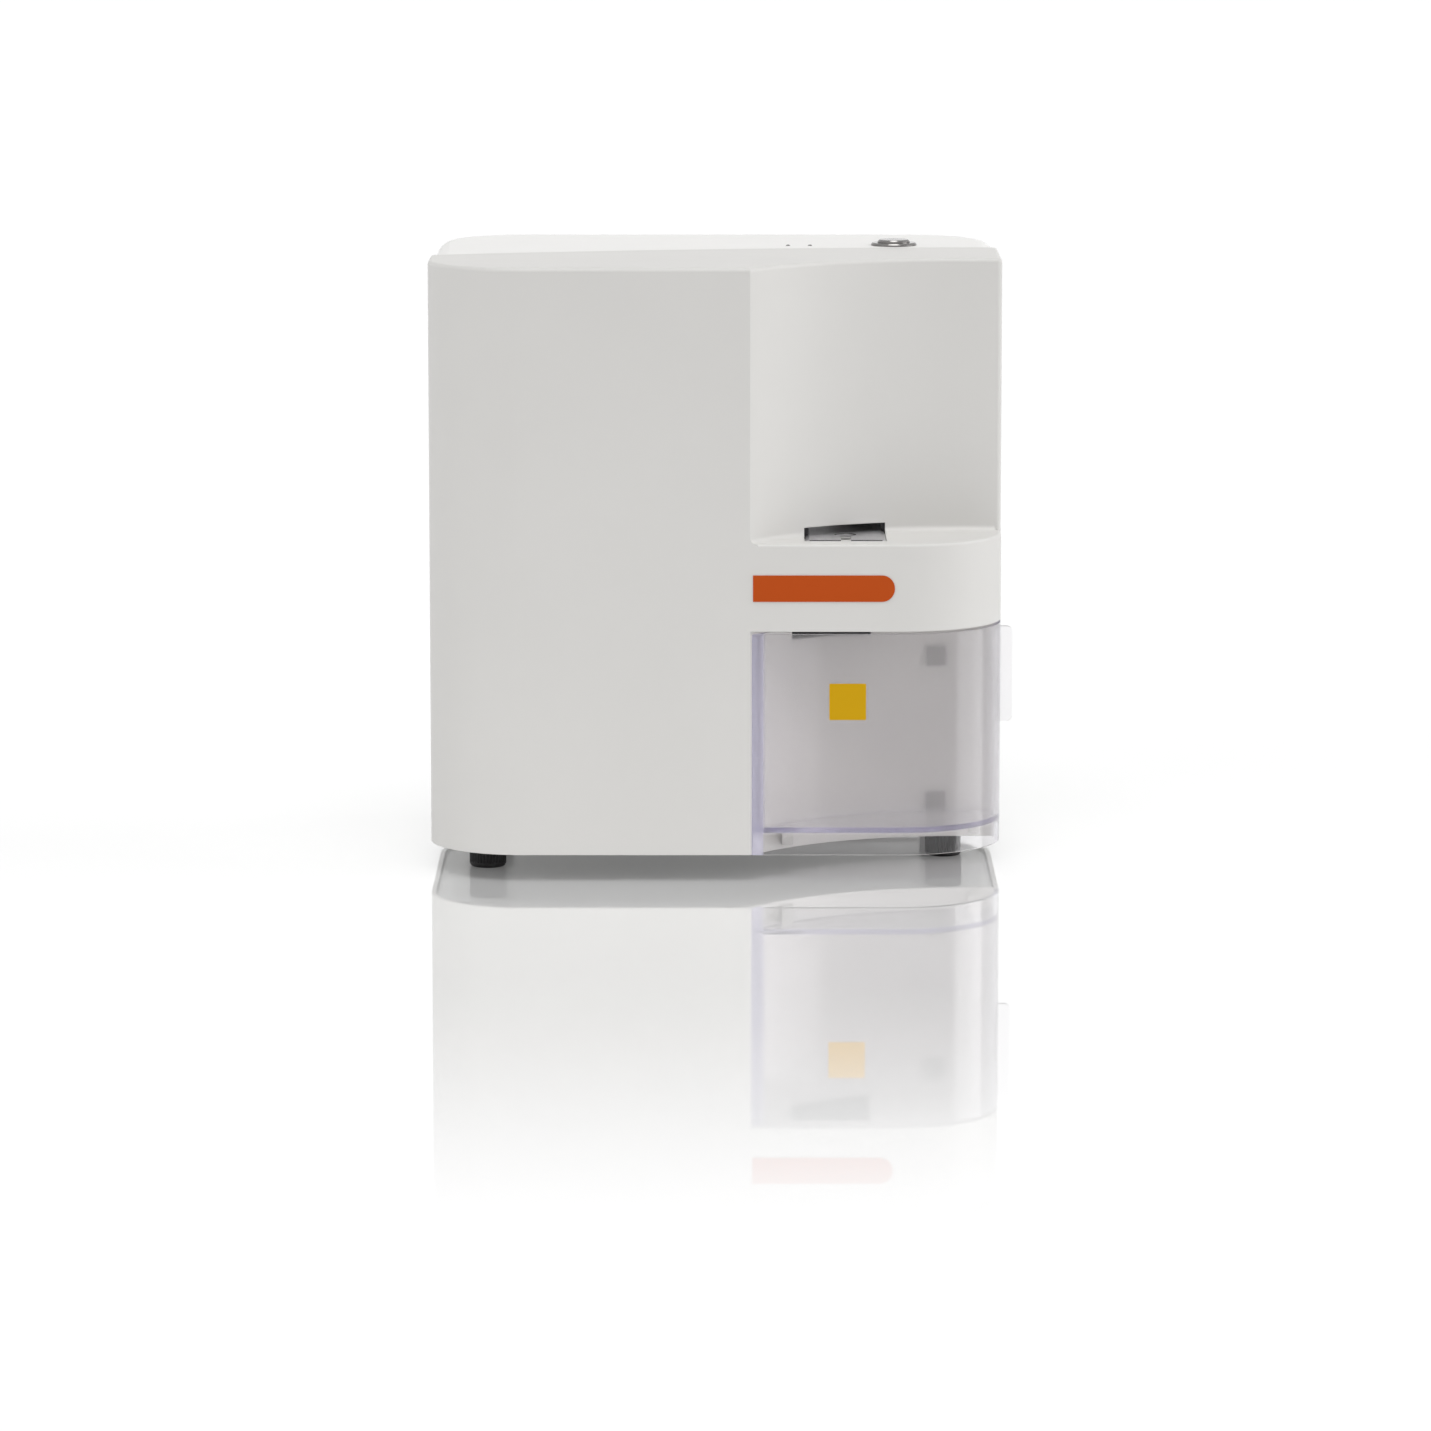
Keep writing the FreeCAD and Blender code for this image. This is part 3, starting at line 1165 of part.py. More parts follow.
def button_cap():
    top = HEIGHT + BUTTON_RING_H + BUTTON_CAP_RISE
    profile = [
        (0, top),
        (BUTTON_CAP_R - BUTTON_CAP_RISE / 2, top),
        (BUTTON_CAP_R, top - BUTTON_CAP_RISE / 2),
        (BUTTON_CAP_R, CAP_BOTTOM),
        (BUTTON_STEM_R, CAP_BOTTOM),
        (BUTTON_STEM_R, CAP_BOTTOM - BUTTON_STEM_LENGTH),
        (0, CAP_BOTTOM - BUTTON_STEM_LENGTH),
    ]
    return turned(profile, BUTTON_X, BUTTON_Y, 0)


def status_lenses():
    bottom, rise = HEIGHT - LENS_LENGTH, LENS_R / 2
    top = HEIGHT + rise
    profile = [(0, bottom), (LENS_R, bottom), (LENS_R, HEIGHT), (rise, top), (0, top)]
    return Part.makeCompound([turned(profile, x, LENS_Y, 0) for x in LENS_XS])


# Back panel, fan, inlet and port
def around(x, z, width, height, radius):
    return rounded(x - width / 2, x + width / 2, z - height / 2, z + height / 2, radius)


def through_panel(outline):
    """An outline in x and z, carried through the panel's sheet."""
    return upright(outline, PANEL_BACK, PANEL_FACE)


def back_panel():
    left, right = PANEL_LEFT - PANEL_FLANGE, PANEL_RIGHT + PANEL_FLANGE
    low, high = PANEL_WINDOW_BOTTOM - PANEL_FLANGE, PANEL_TOP + PANEL_FLANGE
    panel = through_panel(rounded(left, right, low, high, PANEL_CORNER_R))
    tools = []
    for row in range(VENT_SLOTS):
        offset = (row - (VENT_SLOTS - 1) / 2) * VENT_PITCH
        width = 2 * math.sqrt(FAN_BORE_R**2 - offset**2)
        slot = around(FAN_X, FAN_Z + offset, width, VENT_SLOT_H, VENT_SLOT_H / 2 - RUN_GAP)
        tools.append(through_panel(slot))
    margin = INLET_BODY_MARGIN
    width, height = INLET_WIDTH - margin * 2, INLET_HEIGHT - margin * 2
    tools.append(through_panel(around(INLET_X, INLET_Z, width, height, margin)))
    tools.append(through_panel(around(PORT_X, PORT_Z, PORT_WIDTH, PORT_HEIGHT, FIT_GAP)))
    for x, y, z in panel_screw_places():
        tools.append(rod(x, PANEL_BACK, z, PANEL_T, SCREW_HOLE_R, V(0, 1, 0)))
    return cut(panel, tools)


def panel_screw_places():
    inset = PANEL_SCREW_INSET
    xs = (PANEL_LEFT + inset, PANEL_RIGHT - inset)
    zs = (PANEL_WINDOW_BOTTOM + inset, PANEL_TOP - inset)
    return [(x, PANEL_FACE, z) for x in xs for z in zs]


def panel_screws():
    inward, length = V(0, -1, 0), SCREW_LENGTH / 2
    return Part.makeCompound([pan_screw(x, y, z, length, inward) for x, y, z in panel_screw_places()])


def along_fan(start, length, radius):
    """A cylinder on the fan's axis."""
    return rod(FAN_X, start, FAN_Z, length, radius, V(0, 1, 0))


def fan_frame():
    front = PANEL_BACK - FAN_LENGTH
    body = upright(around(FAN_X, FAN_Z, FAN_SIZE, FAN_SIZE, FAN_CORNER_R), front, PANEL_BACK)
    body = body.cut(along_fan(front, FAN_LENGTH, FAN_BORE_R))
    reach, half_w = (FAN_SIZE - FAN_CORNER_R) / 2, FAN_STRUT_W / 2
    pieces = [body, along_fan(front, FAN_STRUT_T, FAN_HUB_R)]
    for half_x, half_z in ((reach, half_w), (half_w, reach)):
        left, right = FAN_X - half_x, FAN_X + half_x
        pieces.append(block(left, right, front, front + FAN_STRUT_T, FAN_Z - half_z, FAN_Z + half_z))
    return fuse(pieces).cut(along_fan(front, FAN_STRUT_T, FAN_PIN_R + RUN_GAP))


def fan_rotor():
    front = PANEL_BACK - FAN_LENGTH
    start = front + FAN_STRUT_T + SLIDE_GAP
    length = PANEL_BACK - SLIDE_GAP - start
    hub = along_fan(start, length, FAN_HUB_R)
    pin = along_fan(front, FAN_STRUT_T + SLIDE_GAP, FAN_PIN_R)
    limit = along_fan(start, length, FAN_BLADE_R)
    half_chord, half_t = FAN_BLADE_CHORD / 2, FAN_BLADE_T / 2
    blades = []
    for step in range(FAN_BLADES):
        blade = block(-half_chord, half_chord, -half_t, half_t, FAN_HUB_R / 2, FAN_BLADE_R + FAN_BLADE_T)
        blade.rotate(V(0, 0, 0), V(0, 0, 1), FAN_BLADE_TILT)
        blade.rotate(V(0, 0, 0), V(0, 1, 0), 360 * step / FAN_BLADES)
        blade.translate(V(FAN_X, start + length / 2, FAN_Z))
        blades.append(blade.common(limit))
    return fuse([hub, pin] + blades)


def power_inlet():
    margin = INLET_BODY_MARGIN
    mouth = PANEL_FACE + INLET_FLANGE_T
    flange = upright(around(INLET_X, INLET_Z, INLET_WIDTH, INLET_HEIGHT, margin), PANEL_FACE, mouth)
    less = (margin + FIT_GAP) * 2
    body = around(INLET_X, INLET_Z, INLET_WIDTH - less, INLET_HEIGHT - less, margin)
    body = upright(body, PANEL_FACE - INLET_BODY_LENGTH, PANEL_FACE)
    return fuse([flange, body]).cut(upright(inlet_cavity(), mouth - INLET_CAVITY_DEPTH, mouth))


def inlet_cavity():
    """The socket's outline: a rectangle with its two upper corners cut off."""
    left, right = INLET_X - INLET_CAVITY_WIDTH / 2, INLET_X + INLET_CAVITY_WIDTH / 2
    low, high = INLET_Z - INLET_CAVITY_HEIGHT / 2, INLET_Z + INLET_CAVITY_HEIGHT / 2
    shoulder = high - INLET_CAVITY_CHAMFER
    corners = [(left, low), (right, low), (right, shoulder), (right - INLET_CAVITY_CHAMFER, high)]
    corners += [(left + INLET_CAVITY_CHAMFER, high), (left, shoulder), (left, low)]
    return path([(x, z, 0) for x, z in corners])


def inlet_pins():
    mouth = PANEL_FACE + INLET_FLANGE_T
    floor, tip = mouth - INLET_CAVITY_DEPTH, mouth - PIN_RECESS
    pins = []
    for across, up in ((-PIN_SPREAD, -PIN_DROP), (0, PIN_DROP), (PIN_SPREAD, -PIN_DROP)):
        left, low = INLET_X + across - PIN_WIDTH / 2, INLET_Z + up - PIN_HEIGHT / 2
        pins.append(block(left, left + PIN_WIDTH, floor, tip, low, low + PIN_HEIGHT))
    return Part.makeCompound(pins)


def data_port():
    mouth = PANEL_FACE + FIT_GAP
    body = around(PORT_X, PORT_Z, PORT_WIDTH - FIT_GAP, PORT_HEIGHT - FIT_GAP, FIT_GAP)
    cavity = around(PORT_X, PORT_Z, PORT_CAVITY_WIDTH, PORT_CAVITY_HEIGHT, FIT_GAP)
    body = upright(body, mouth - PORT_LENGTH, mouth)
    return body.cut(upright(cavity, mouth - PORT_CAVITY_DEPTH, mouth))


# Power supply and main board
def power_supply():
    back, top = SUPPLY_FRONT + SUPPLY_WIDTH, BASE_TOP + SUPPLY_HEIGHT
    box = block(SUPPLY_LEFT, SUPPLY_LEFT + SUPPLY_LENGTH, SUPPLY_FRONT, back, BASE_TOP, top)
    pitch = SUPPLY_LENGTH / (SUPPLY_SLOTS + 1)
    slots = []
    for index in range(SUPPLY_SLOTS):
        left = SUPPLY_LEFT + pitch * (index + 1) - SUPPLY_SLOT_W / 2
        right = left + SUPPLY_SLOT_W
        slots.append(block(left, right, SUPPLY_FRONT + pitch, back - pitch, top - SUPPLY_T, top))
    return cut(box, slots)


def main_board():
    bottom = BASE_TOP + BOARD_STANDOFF
    board = block(BOARD_LEFT, BOARD_RIGHT, BOARD_FRONT, BOARD_BACK, bottom, bottom + BOARD_T)
    posts = []
    for x in (BOARD_LEFT + BOARD_EDGE, BOARD_RIGHT - BOARD_EDGE):
        for y in (BOARD_FRONT + BOARD_EDGE, BOARD_BACK - BOARD_EDGE):
            posts.append(rod(x, y, BASE_TOP, BOARD_STANDOFF, BOARD_POST_R))
    return fuse([board] + posts)


def board_chips():
    bottom = BASE_TOP + BOARD_STANDOFF + BOARD_T
    pitch_x = (BOARD_RIGHT - BOARD_LEFT) / (CHIP_COLUMNS + 1)
    pitch_y = (BOARD_BACK - BOARD_FRONT) / (CHIP_ROWS + 1)
    width, depth = pitch_x * CHIP_SHARE, pitch_y * CHIP_SHARE
    chips = []
    for column in range(CHIP_COLUMNS):
        for row in range(CHIP_ROWS):
            left = BOARD_LEFT + pitch_x * (column + 1) - width / 2
            front = BOARD_FRONT + pitch_y * (row + 1) - depth / 2
            chips.append(block(left, left + width, front, front + depth, bottom, bottom + CHIP_HEIGHT))
    return Part.makeCompound(chips)


# Writing the pieces
def main():
    os.makedirs("parts", exist_ok=True)
    save("front_shell", front_shell())
    save("rear_cover", rear_cover())
    save("base_plate", base_plate())
    save("base_screws", screws(FRONT_BOSSES + REAR_BOSSES, BASE_BOTTOM, SCREW_LENGTH))
    for name, place in zip(FOOT_NAMES, FEET):
        save(name, foot(*place))
    save("foot_screws", screws(FEET, FOOT_WELL_DEPTH, BASE_TOP - FOOT_WELL_DEPTH + SCREW_LENGTH))
    save("waste_bin", waste_bin())
    save("bin_strike_plates", catches(lambda z: strike_plate(z, 0)))
    save("bin_magnets", catches(magnet))
    bracket_places = (RECESS_X + SUPPORT_LEFT_INSET, RIGHT - SUPPORT_RIGHT_INSET)
    save("bin_brackets", Part.makeCompound([bin_bracket(x) for x in bracket_places]))
    save("bin_label", label())
    save("name_strip", name_strip())
    save("loading_tray", loading_tray())
    save("tray_nut", tray_nut())
    save("tray_rail_left", tray_rail(TRAY_LEFT, -1))
    save("tray_rail_right", tray_rail(TRAY_RIGHT, 1))
    save("tray_screw", tray_screw())
    save("tray_motor", tray_motor())
    save("tray_motor_stand", motor_stand())
    save("deck_plate", deck_plate())
    save("deck_posts", deck_posts())
    save("waste_chute", waste_chute())
    save("centrifuge_bowl", centrifuge_bowl())
    save("centrifuge_motor", rotor_motor())
    save("centrifuge_rotor", rotor())
    save("shuttle", shuttle())
    save("shuttle_rods", shuttle_rods())
    save("rod_blocks", rod_blocks())
    save("drive_pulley", pulley(PULLEY_LEFT_X, DECK_Z - PULLEY_SHAFT_DEPTH + SLIDE_GAP))
    save("idler_pulley", pulley(PULLEY_RIGHT_X, DECK_TOP + SLIDE_GAP))
    save("idler_bush", idler_bush())
    save("shuttle_belt", belt())
    save("shuttle_motor", stepper(PULLEY_LEFT_X, BELT_Y, DECK_Z, V(0, 0, 1), PULLEY_SHAFT_R))
    save("microscope_frame", microscope_frame())
    save("focus_slide", focus_slide())
    save("objective", objective())
    save("camera", camera())
    save("focus_screw", focus_screw())
    save("focus_motor", focus_motor())
    save("condenser_lamp", condenser_lamp())
    save("button_housing", button_housing())
    save("button_nut", button_nut())
    save("button_cap", button_cap())
    save("status_lenses", status_lenses())
    save("back_panel", back_panel())
    save("panel_screws", panel_screws())
    save("fan_frame", fan_frame())
    save("fan_rotor", fan_rotor())
    save("power_inlet", power_inlet())
    save("inlet_pins", inlet_pins())
    save("data_port", data_port())
    save("power_supply", power_supply())
    save("main_board", main_board())
    save("board_chips", board_chips())


main()
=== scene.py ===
import math

import bmesh
import bpy
from mathutils import Matrix, Vector


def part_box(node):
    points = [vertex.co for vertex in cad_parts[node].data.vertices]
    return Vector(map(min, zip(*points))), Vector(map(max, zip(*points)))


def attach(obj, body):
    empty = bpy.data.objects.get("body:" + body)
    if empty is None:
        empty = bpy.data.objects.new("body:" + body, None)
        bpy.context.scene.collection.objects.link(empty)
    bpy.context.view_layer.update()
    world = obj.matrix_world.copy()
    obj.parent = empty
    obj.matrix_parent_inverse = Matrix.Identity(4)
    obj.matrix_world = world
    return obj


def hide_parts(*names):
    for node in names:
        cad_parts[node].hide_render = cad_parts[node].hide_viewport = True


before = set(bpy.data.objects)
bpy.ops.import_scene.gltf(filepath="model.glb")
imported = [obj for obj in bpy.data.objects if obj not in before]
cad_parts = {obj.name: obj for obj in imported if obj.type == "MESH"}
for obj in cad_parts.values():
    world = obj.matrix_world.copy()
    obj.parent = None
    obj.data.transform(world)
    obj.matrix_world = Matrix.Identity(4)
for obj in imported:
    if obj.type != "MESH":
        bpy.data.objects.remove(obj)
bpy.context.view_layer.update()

bl_info = {
    "name": "Urine Analyzer",
    "version": (1, 0, 0),
    "blender": (4, 5, 0),
    "location": "View3D > Sidebar > Analyzer",
    "description": "Finishes of the analyzer, its feet, bin, tray, button, sockets, fan and drives",
    "category": "Add Mesh",
}

MM = 0.001

# How high the grain of moulded plastic stands
FINE_GRAIN = 0.04 * MM
PLAIN_GRAIN = 0.05 * MM
SHELL_GRAIN = 0.06 * MM
COARSE_GRAIN = 0.1 * MM

# Stretches of the drawing lines: the small number is the direction that they run in
ALONG_X = (0.04, 1.0, 1.0)
ALONG_Y = (1.0, 0.05, 1.0)
ALONG_Z = (1.0, 1.0, 0.04)
EVEN = (1.0, 1.0, 1.0)

# Turns the rings of a turned piece from the Z axis to the Y axis
ROUND_Y = (math.pi / 2, 0.0, 0.0)

# The view of the photograph
LENS = 166.67
SENSOR_WIDTH = 36.0
CAMERA_PLACE = (-0.00325, -3.6228, 0.6404)
CAMERA_TILT = 81.1
SIGHT = 200.0

# Name, turn in degrees, strength and spread in degrees of each lamp
LAMPS = (
    ("top_light", (18.0, 0.0, 0.0), 1.42, 40.0),
    ("left_light", (0.0, -62.0, 45.0), 0.4, 45.0),
    ("right_light", (0.0, 74.0, 0.0), 1.12, 42.0),
)
SKY_LIGHT = 0.42

# The floor's gloss fades out towards the viewer between these places on Y
GLOSS_ENDS = -1.04
GLOSS_FULL = -0.36
FLOOR_REACH = 30.0
FLOOR_SHADE = 0.87
FLOOR_LIFT = 0.15


# Node helpers
def node(tree, kind, inputs=None, **settings):
    """A node with its settings, its values and its links."""
    made = tree.nodes.new(kind)
    for name, value in settings.items():
        setattr(made, name, value)
    for name, value in (inputs or {}).items():
        if isinstance(value, bpy.types.NodeSocket):
            tree.links.new(value, made.inputs[name])
        else:
            made.inputs[name].default_value = value
    return made


def calculate(tree, operation, *values):
    """The result of a Math node."""
    return node(tree, "ShaderNodeMath", dict(enumerate(values)), operation=operation).outputs["Value"]


def spread(tree, value, low=0.0, high=1.0, start=0.0, end=1.0, **settings):
    """A value between start and end, mapped to low and high."""
    inputs = {"Value": value, "From Min": start, "From Max": end, "To Min": low, "To Max": high}
    return node(tree, "ShaderNodeMapRange", inputs, **settings).outputs["Result"]


def ramp(tree, value, first, last, start=0.0, end=1.0):
    """A colour that goes from first at start to last at end."""
    made = node(tree, "ShaderNodeValToRGB", {"Fac": value})
    for stop, place, colour in zip(made.color_ramp.elements, (start, end), (first, last)):
        stop.position = place
        stop.color = colour
    return made.outputs["Color"]


def mix(tree, share, first, second):
    """Two shaders, of which share says how much is the second."""
    return node(tree, "ShaderNodeMixShader", {0: share, 1: first, 2: second}).outputs["Shader"]


def noise(tree, where, scale, detail, stretch=EVEN):
    """A noise pattern, stretched along the axes whose number is small."""
    placed = node(tree, "ShaderNodeMapping", {"Vector": where, "Scale": stretch})
    inputs = {"Vector": placed.outputs["Vector"], "Scale": scale, "Detail": detail}
    return node(tree, "ShaderNodeTexNoise", inputs).outputs["Fac"]


def bands(tree, where, axis, pitch):
    """Even bands across an axis; a wave texture has its crests pi / 10 apart at a scale of 1."""
    inputs = {"Vector": where, "Scale": math.pi / (pitch * 10.0), "Distortion": 0.0}
    return node(tree, "ShaderNodeTexWave", inputs, bands_direction=axis).outputs["Fac"]


def seen_directly(tree):
    """1 for what the camera sees, straight, mirrored or through the clear plastic, and else 0."""
    rays = node(tree, "ShaderNodeLightPath").outputs
    seen = calculate(tree, "MAXIMUM", rays["Is Camera Ray"], rays["Is Glossy Ray"])
    return calculate(tree, "MAXIMUM", seen, rays["Is Transmission Ray"])


def output_of(tree):
    return next(item for item in tree.nodes if item.type == "OUTPUT_MATERIAL")


# Material helpers
def new_material(name, colour, roughness, **values):
    """A material with one shader, its tree and its Object coordinates."""
    material = bpy.data.materials.new(name)
    material.use_nodes = True
    tree = material.node_tree
    tree.nodes.clear()
    inputs = {"Base Color": (*colour, 1.0), "Roughness": roughness}
    shader = node(tree, "ShaderNodeBsdfPrincipled", inputs)
    for socket, value in values.items():
        shader.inputs[socket.replace("_", " ")].default_value = value
    node(tree, "ShaderNodeOutputMaterial", {"Surface": shader.outputs["BSDF"]})
    where = node(tree, "ShaderNodeTexCoord").outputs["Object"]
    return material, tree, shader, where


def shade(colour, share):
    """A colour made darker or lighter, with its alpha."""
    return (*[min(channel * share, 1.0) for channel in colour[:3]], 1.0)


def cloudy(tree, shader, pattern, colour, depth):
    """Lets a pattern darken and lighten the colour by a share of depth."""
    dark, light = shade(colour, 1.0 - depth), shade(colour, 1.0 + depth)
    clouds = ramp(tree, pattern, dark, light, start=0.3, end=0.7)
    tree.links.new(clouds, shader.inputs["Base Color"])


def uneven_gloss(tree, shader, pattern, low, high):
    """Lets a pattern move the roughness between low and high."""
    tree.links.new(spread(tree, pattern, low, high), shader.inputs["Roughness"])


def relief(tree, shader, pattern, distance, strength, edge=0.0):
    """Raises the surface by a pattern, with its edges broken by a small round."""
    inputs = {"Strength": strength, "Distance": distance, "Height": pattern}
    bump = node(tree, "ShaderNodeBump", inputs)
    if edge > 0:
        soft = node(tree, "ShaderNodeBevel", {"Radius": edge}, samples=6)
        tree.links.new(soft.outputs["Normal"], bump.inputs["Normal"])
    tree.links.new(bump.outputs["Normal"], shader.inputs["Normal"])


# Finishes
def moulded(name, colour, roughness, grain, edge=0.0):
    """Moulded plastic: a fine spark-eroded grain, faint flow clouds and uneven gloss."""
    material, tree, shader, where = new_material(name, colour, roughness)
    cloudy(tree, shader, noise(tree, where, scale=9.0, detail=3.0), colour, depth=0.012)
    patches = noise(tree, where, scale=60.0, detail=4.0)
    uneven_gloss(tree, shader, patches, low=roughness - 0.04, high=roughness + 0.05)
    fine = noise(tree, where, scale=2600.0, detail=3.0)
    relief(tree, shader, fine, distance=grain, strength=0.6, edge=edge)
    return material


def coated(name, colour, roughness):
    """Powder-coated or lacquered metal with its orange peel."""
    coat = {"Coat_Weight": 0.25, "Coat_Roughness": 0.3}
    material, tree, shader, where = new_material(name, colour, roughness, **coat)
    cells = node(tree, "ShaderNodeTexVoronoi", {"Vector": where, "Scale": 900.0}, feature="SMOOTH_F1")
    cloudy(tree, shader, noise(tree, where, scale=300.0, detail=4.0), colour, depth=0.06)
    relief(tree, shader, cells.outputs["Distance"], distance=0.12 * MM, strength=0.5, edge=0.3 * MM)
    return material


def drawn_metal(name, colour, roughness, stretch):
    """Rolled, drawn or milled metal with fine lines along one direction."""
    material, tree, shader, where = new_material(name, colour, roughness, Metallic=1.0)
    lines = noise(tree, where, scale=2400.0, detail=4.0, stretch=stretch)
    cloudy(tree, shader, noise(tree, where, scale=120.0, detail=4.0), colour, depth=0.05)
    uneven_gloss(tree, shader, lines, low=roughness * 0.7, high=roughness * 1.4)
    relief(tree, shader, lines, distance=0.02 * MM, strength=0.7, edge=0.2 * MM)
    return material


def turned_metal(name, colour, roughness, centre, turned_by=(0.0, 0.0, 0.0)):
    """Metal turned on a lathe, with rings round the axis through centre."""
    material, tree, shader, where = new_material(name, colour, roughness, Metallic=1.0)
    moved = node(tree, "ShaderNodeVectorMath", {0: where, 1: centre}, operation="SUBTRACT")
    inputs = {"Vector": moved.outputs["Vector"], "Rotation": turned_by}
    placed = node(tree, "ShaderNodeMapping", inputs)
    inputs = {0: placed.outputs["Vector"], 1: (1.0, 1.0, 0.0)}
    flat = node(tree, "ShaderNodeVectorMath", inputs, operation="MULTIPLY")
    reach = node(tree, "ShaderNodeVectorMath", {0: flat.outputs["Vector"]}, operation="LENGTH")
    inputs = {"W": reach.outputs["Value"], "Scale": 5200.0, "Detail": 3.0}
    rings = node(tree, "ShaderNodeTexNoise", inputs, noise_dimensions="1D").outputs["Fac"]
    cloudy(tree, shader, noise(tree, where, scale=160.0, detail=3.0), colour, depth=0.05)
    uneven_gloss(tree, shader, rings, low=roughness * 0.7, high=roughness * 1.3)
    relief(tree, shader, rings, distance=0.03 * MM, strength=0.8, edge=0.2 * MM)
    return material


def rubber(name, colour, roughness):
    """Black rubber with a dusty, slightly mottled skin."""
    material, tree, shader, where = new_material(name, colour, roughness, Specular_IOR_Level=0.35)
    dust = noise(tree, where, scale=220.0, detail=5.0)
    cloudy(tree, shader, dust, colour, depth=0.35)
    uneven_gloss(tree, shader, dust, low=roughness - 0.12, high=roughness + 0.1)
    skin = noise(tree, where, scale=3200.0, detail=3.0)
    relief(tree, shader, skin, distance=0.05 * MM, strength=0.7)
    return material


def printed_film(name, colour, low, high, border):
    """A matt printed film between two corners, paler along its die-cut border."""
    material, tree, shader, where = new_material(name, colour, 0.55, Specular_IOR_Level=0.12)
    split = node(tree, "ShaderNodeSeparateXYZ", {"Vector": where}).outputs
    inward = []
    for axis, start, end in (("X", low.x, high.x), ("Z", low.z, high.z)):
        offset = calculate(tree, "SUBTRACT", split[axis], (start + end) / 2)
        away = calculate(tree, "ABSOLUTE", offset)
        inward.append(calculate(tree, "SUBTRACT", (end - start) / 2, away))
    nearest = calculate(tree, "MINIMUM", *inward)
    roughened = noise(tree, where, scale=900.0, detail=3.0)
    fray = calculate(tree, "MULTIPLY", roughened, 0.4 * MM)
    reach = calculate(tree, "MULTIPLY", calculate(tree, "ADD", nearest, fray), 1.0 / border)
    pale = (*[channel * 0.75 + 0.18 for channel in colour], 1.0)
    tree.links.new(ramp(tree, reach, pale, (*colour, 1.0)), shader.inputs["Base Color"])
    dots = noise(tree, where, scale=700.0, detail=2.0)
    relief(tree, shader, dots, distance=0.03 * MM, strength=0.5)
    return material


def clear_plastic(name, tint, thick, frost, low, left, right):
    """Clear moulded plastic, frosted but for the skirt below low and the ear beyond right. The skirt's colour
    is darkened as painted shade of the dark space under the body.

    Light that crosses much of it turns to the colour thick. Its upright edge, on the near side
    of left, is milky.
    """
    roughness, milk_shade, skirt_painted_shade, skirt_polish = 0.14, 0.84, 0.88, 0.25
    edge_milk, edge_share, density = (0.7, 0.69, 0.82, 1.0), 0.26, 26.0
    clear = {"Transmission_Weight": 1.0, "IOR": 1.49}
    material, tree, shader, where = new_material(name, tint, roughness, **clear)

    # Where it is edge, main body (0 in the skirt) and frosted body (0 in the ear as well)
    split = node(tree, "ShaderNodeSeparateXYZ", {"Vector": where}).outputs
    above = spread(tree, split["Z"], start=low - MM, end=low)
    edge = spread(tree, split["X"], 1.0, 0.0, start=left, end=left + MM)
    beside = spread(tree, split["X"], 1.0, 0.0, start=right, end=right + MM)
    main = calculate(tree, "MAXIMUM", above, edge)
    body = calculate(tree, "MULTIPLY", main, beside)

    # Painted shade: the skirt's colour is darker, standing in for the shadow under the body seen through it
    depth = ramp(tree, main, shade(tint, skirt_painted_shade), shade(tint, 1.0))
    tree.links.new(depth, shader.inputs["Base Color"])
    patches = noise(tree, where, scale=45.0, detail=4.0)
    gloss = spread(tree, patches, roughness * 0.8, roughness * 1.25)
    gloss = calculate(tree, "MULTIPLY", gloss, spread(tree, body, skirt_polish, 1.0))
    tree.links.new(gloss, shader.inputs["Roughness"])
    waves = noise(tree, where, scale=220.0, detail=2.0)
    relief(tree, shader, waves, distance=0.02 * MM, strength=0.3)

    film = ramp(tree, edge, shade(tint, milk_shade), edge_milk)
    haze = node(tree, "ShaderNodeBsdfTranslucent", {"Color": film}).outputs["BSDF"]
    surface = node(tree, "ShaderNodeBsdfDiffuse", {"Color": film, "Roughness": 1.0}).outputs["BSDF"]
    clouds = noise(tree, where, scale=40.0, detail=3.0)
    share = calculate(tree, "MULTIPLY", spread(tree, clouds, frost * 0.9, frost * 1.1), body)
    share = calculate(tree, "MULTIPLY_ADD", edge, edge_share, share)
    frosted = mix(tree, share, shader.outputs["BSDF"], mix(tree, 0.5, haze, surface))

    # Shadows and soft light pass straight through
    through = node(tree, "ShaderNodeBsdfTransparent", {"Color": shade(tint, 1.03)}).outputs["BSDF"]
    rays = node(tree, "ShaderNodeLightPath").outputs
    passing = calculate(tree, "MAXIMUM", rays["Is Shadow Ray"], rays["Is Diffuse Ray"])
    inputs = {"Color": (*thick, 1.0), "Density": density}
    absorb = node(tree, "ShaderNodeVolumeAbsorption", inputs).outputs["Volume"]
    output = output_of(tree)
    tree.links.new(mix(tree, passing, frosted, through), output.inputs["Surface"])
    tree.links.new(absorb, output.inputs["Volume"])
    return material


def lens(name, colour, roughness):
    """A small moulded lens of clear or smoked plastic."""
    clear = {"Transmission_Weight": 0.6, "IOR": 1.49, "Coat_Weight": 0.5}
    material, tree, shader, where = new_material(name, colour, roughness, **clear)
    cloudy(tree, shader, noise(tree, where, scale=500.0, detail=2.0), colour, depth=0.08)
    flow = noise(tree, where, scale=1500.0, detail=2.0)
    relief(tree, shader, flow, distance=0.02 * MM, strength=0.5)
    return material


def threaded(name, colour, roughness, axis, pitch):
    """A screw's metal, with the thread drawn as bands along its axis."""
    material, tree, shader, where = new_material(name, colour, roughness, Metallic=1.0)
    cloudy(tree, shader, noise(tree, where, scale=400.0, detail=3.0), colour, depth=0.06)
    patches = noise(tree, where, scale=900.0, detail=3.0)
    uneven_gloss(tree, shader, patches, low=roughness * 0.8, high=roughness * 1.3)
    relief(tree, shader, bands(tree, where, axis, pitch), distance=0.4 * MM, strength=1.0)
    return material


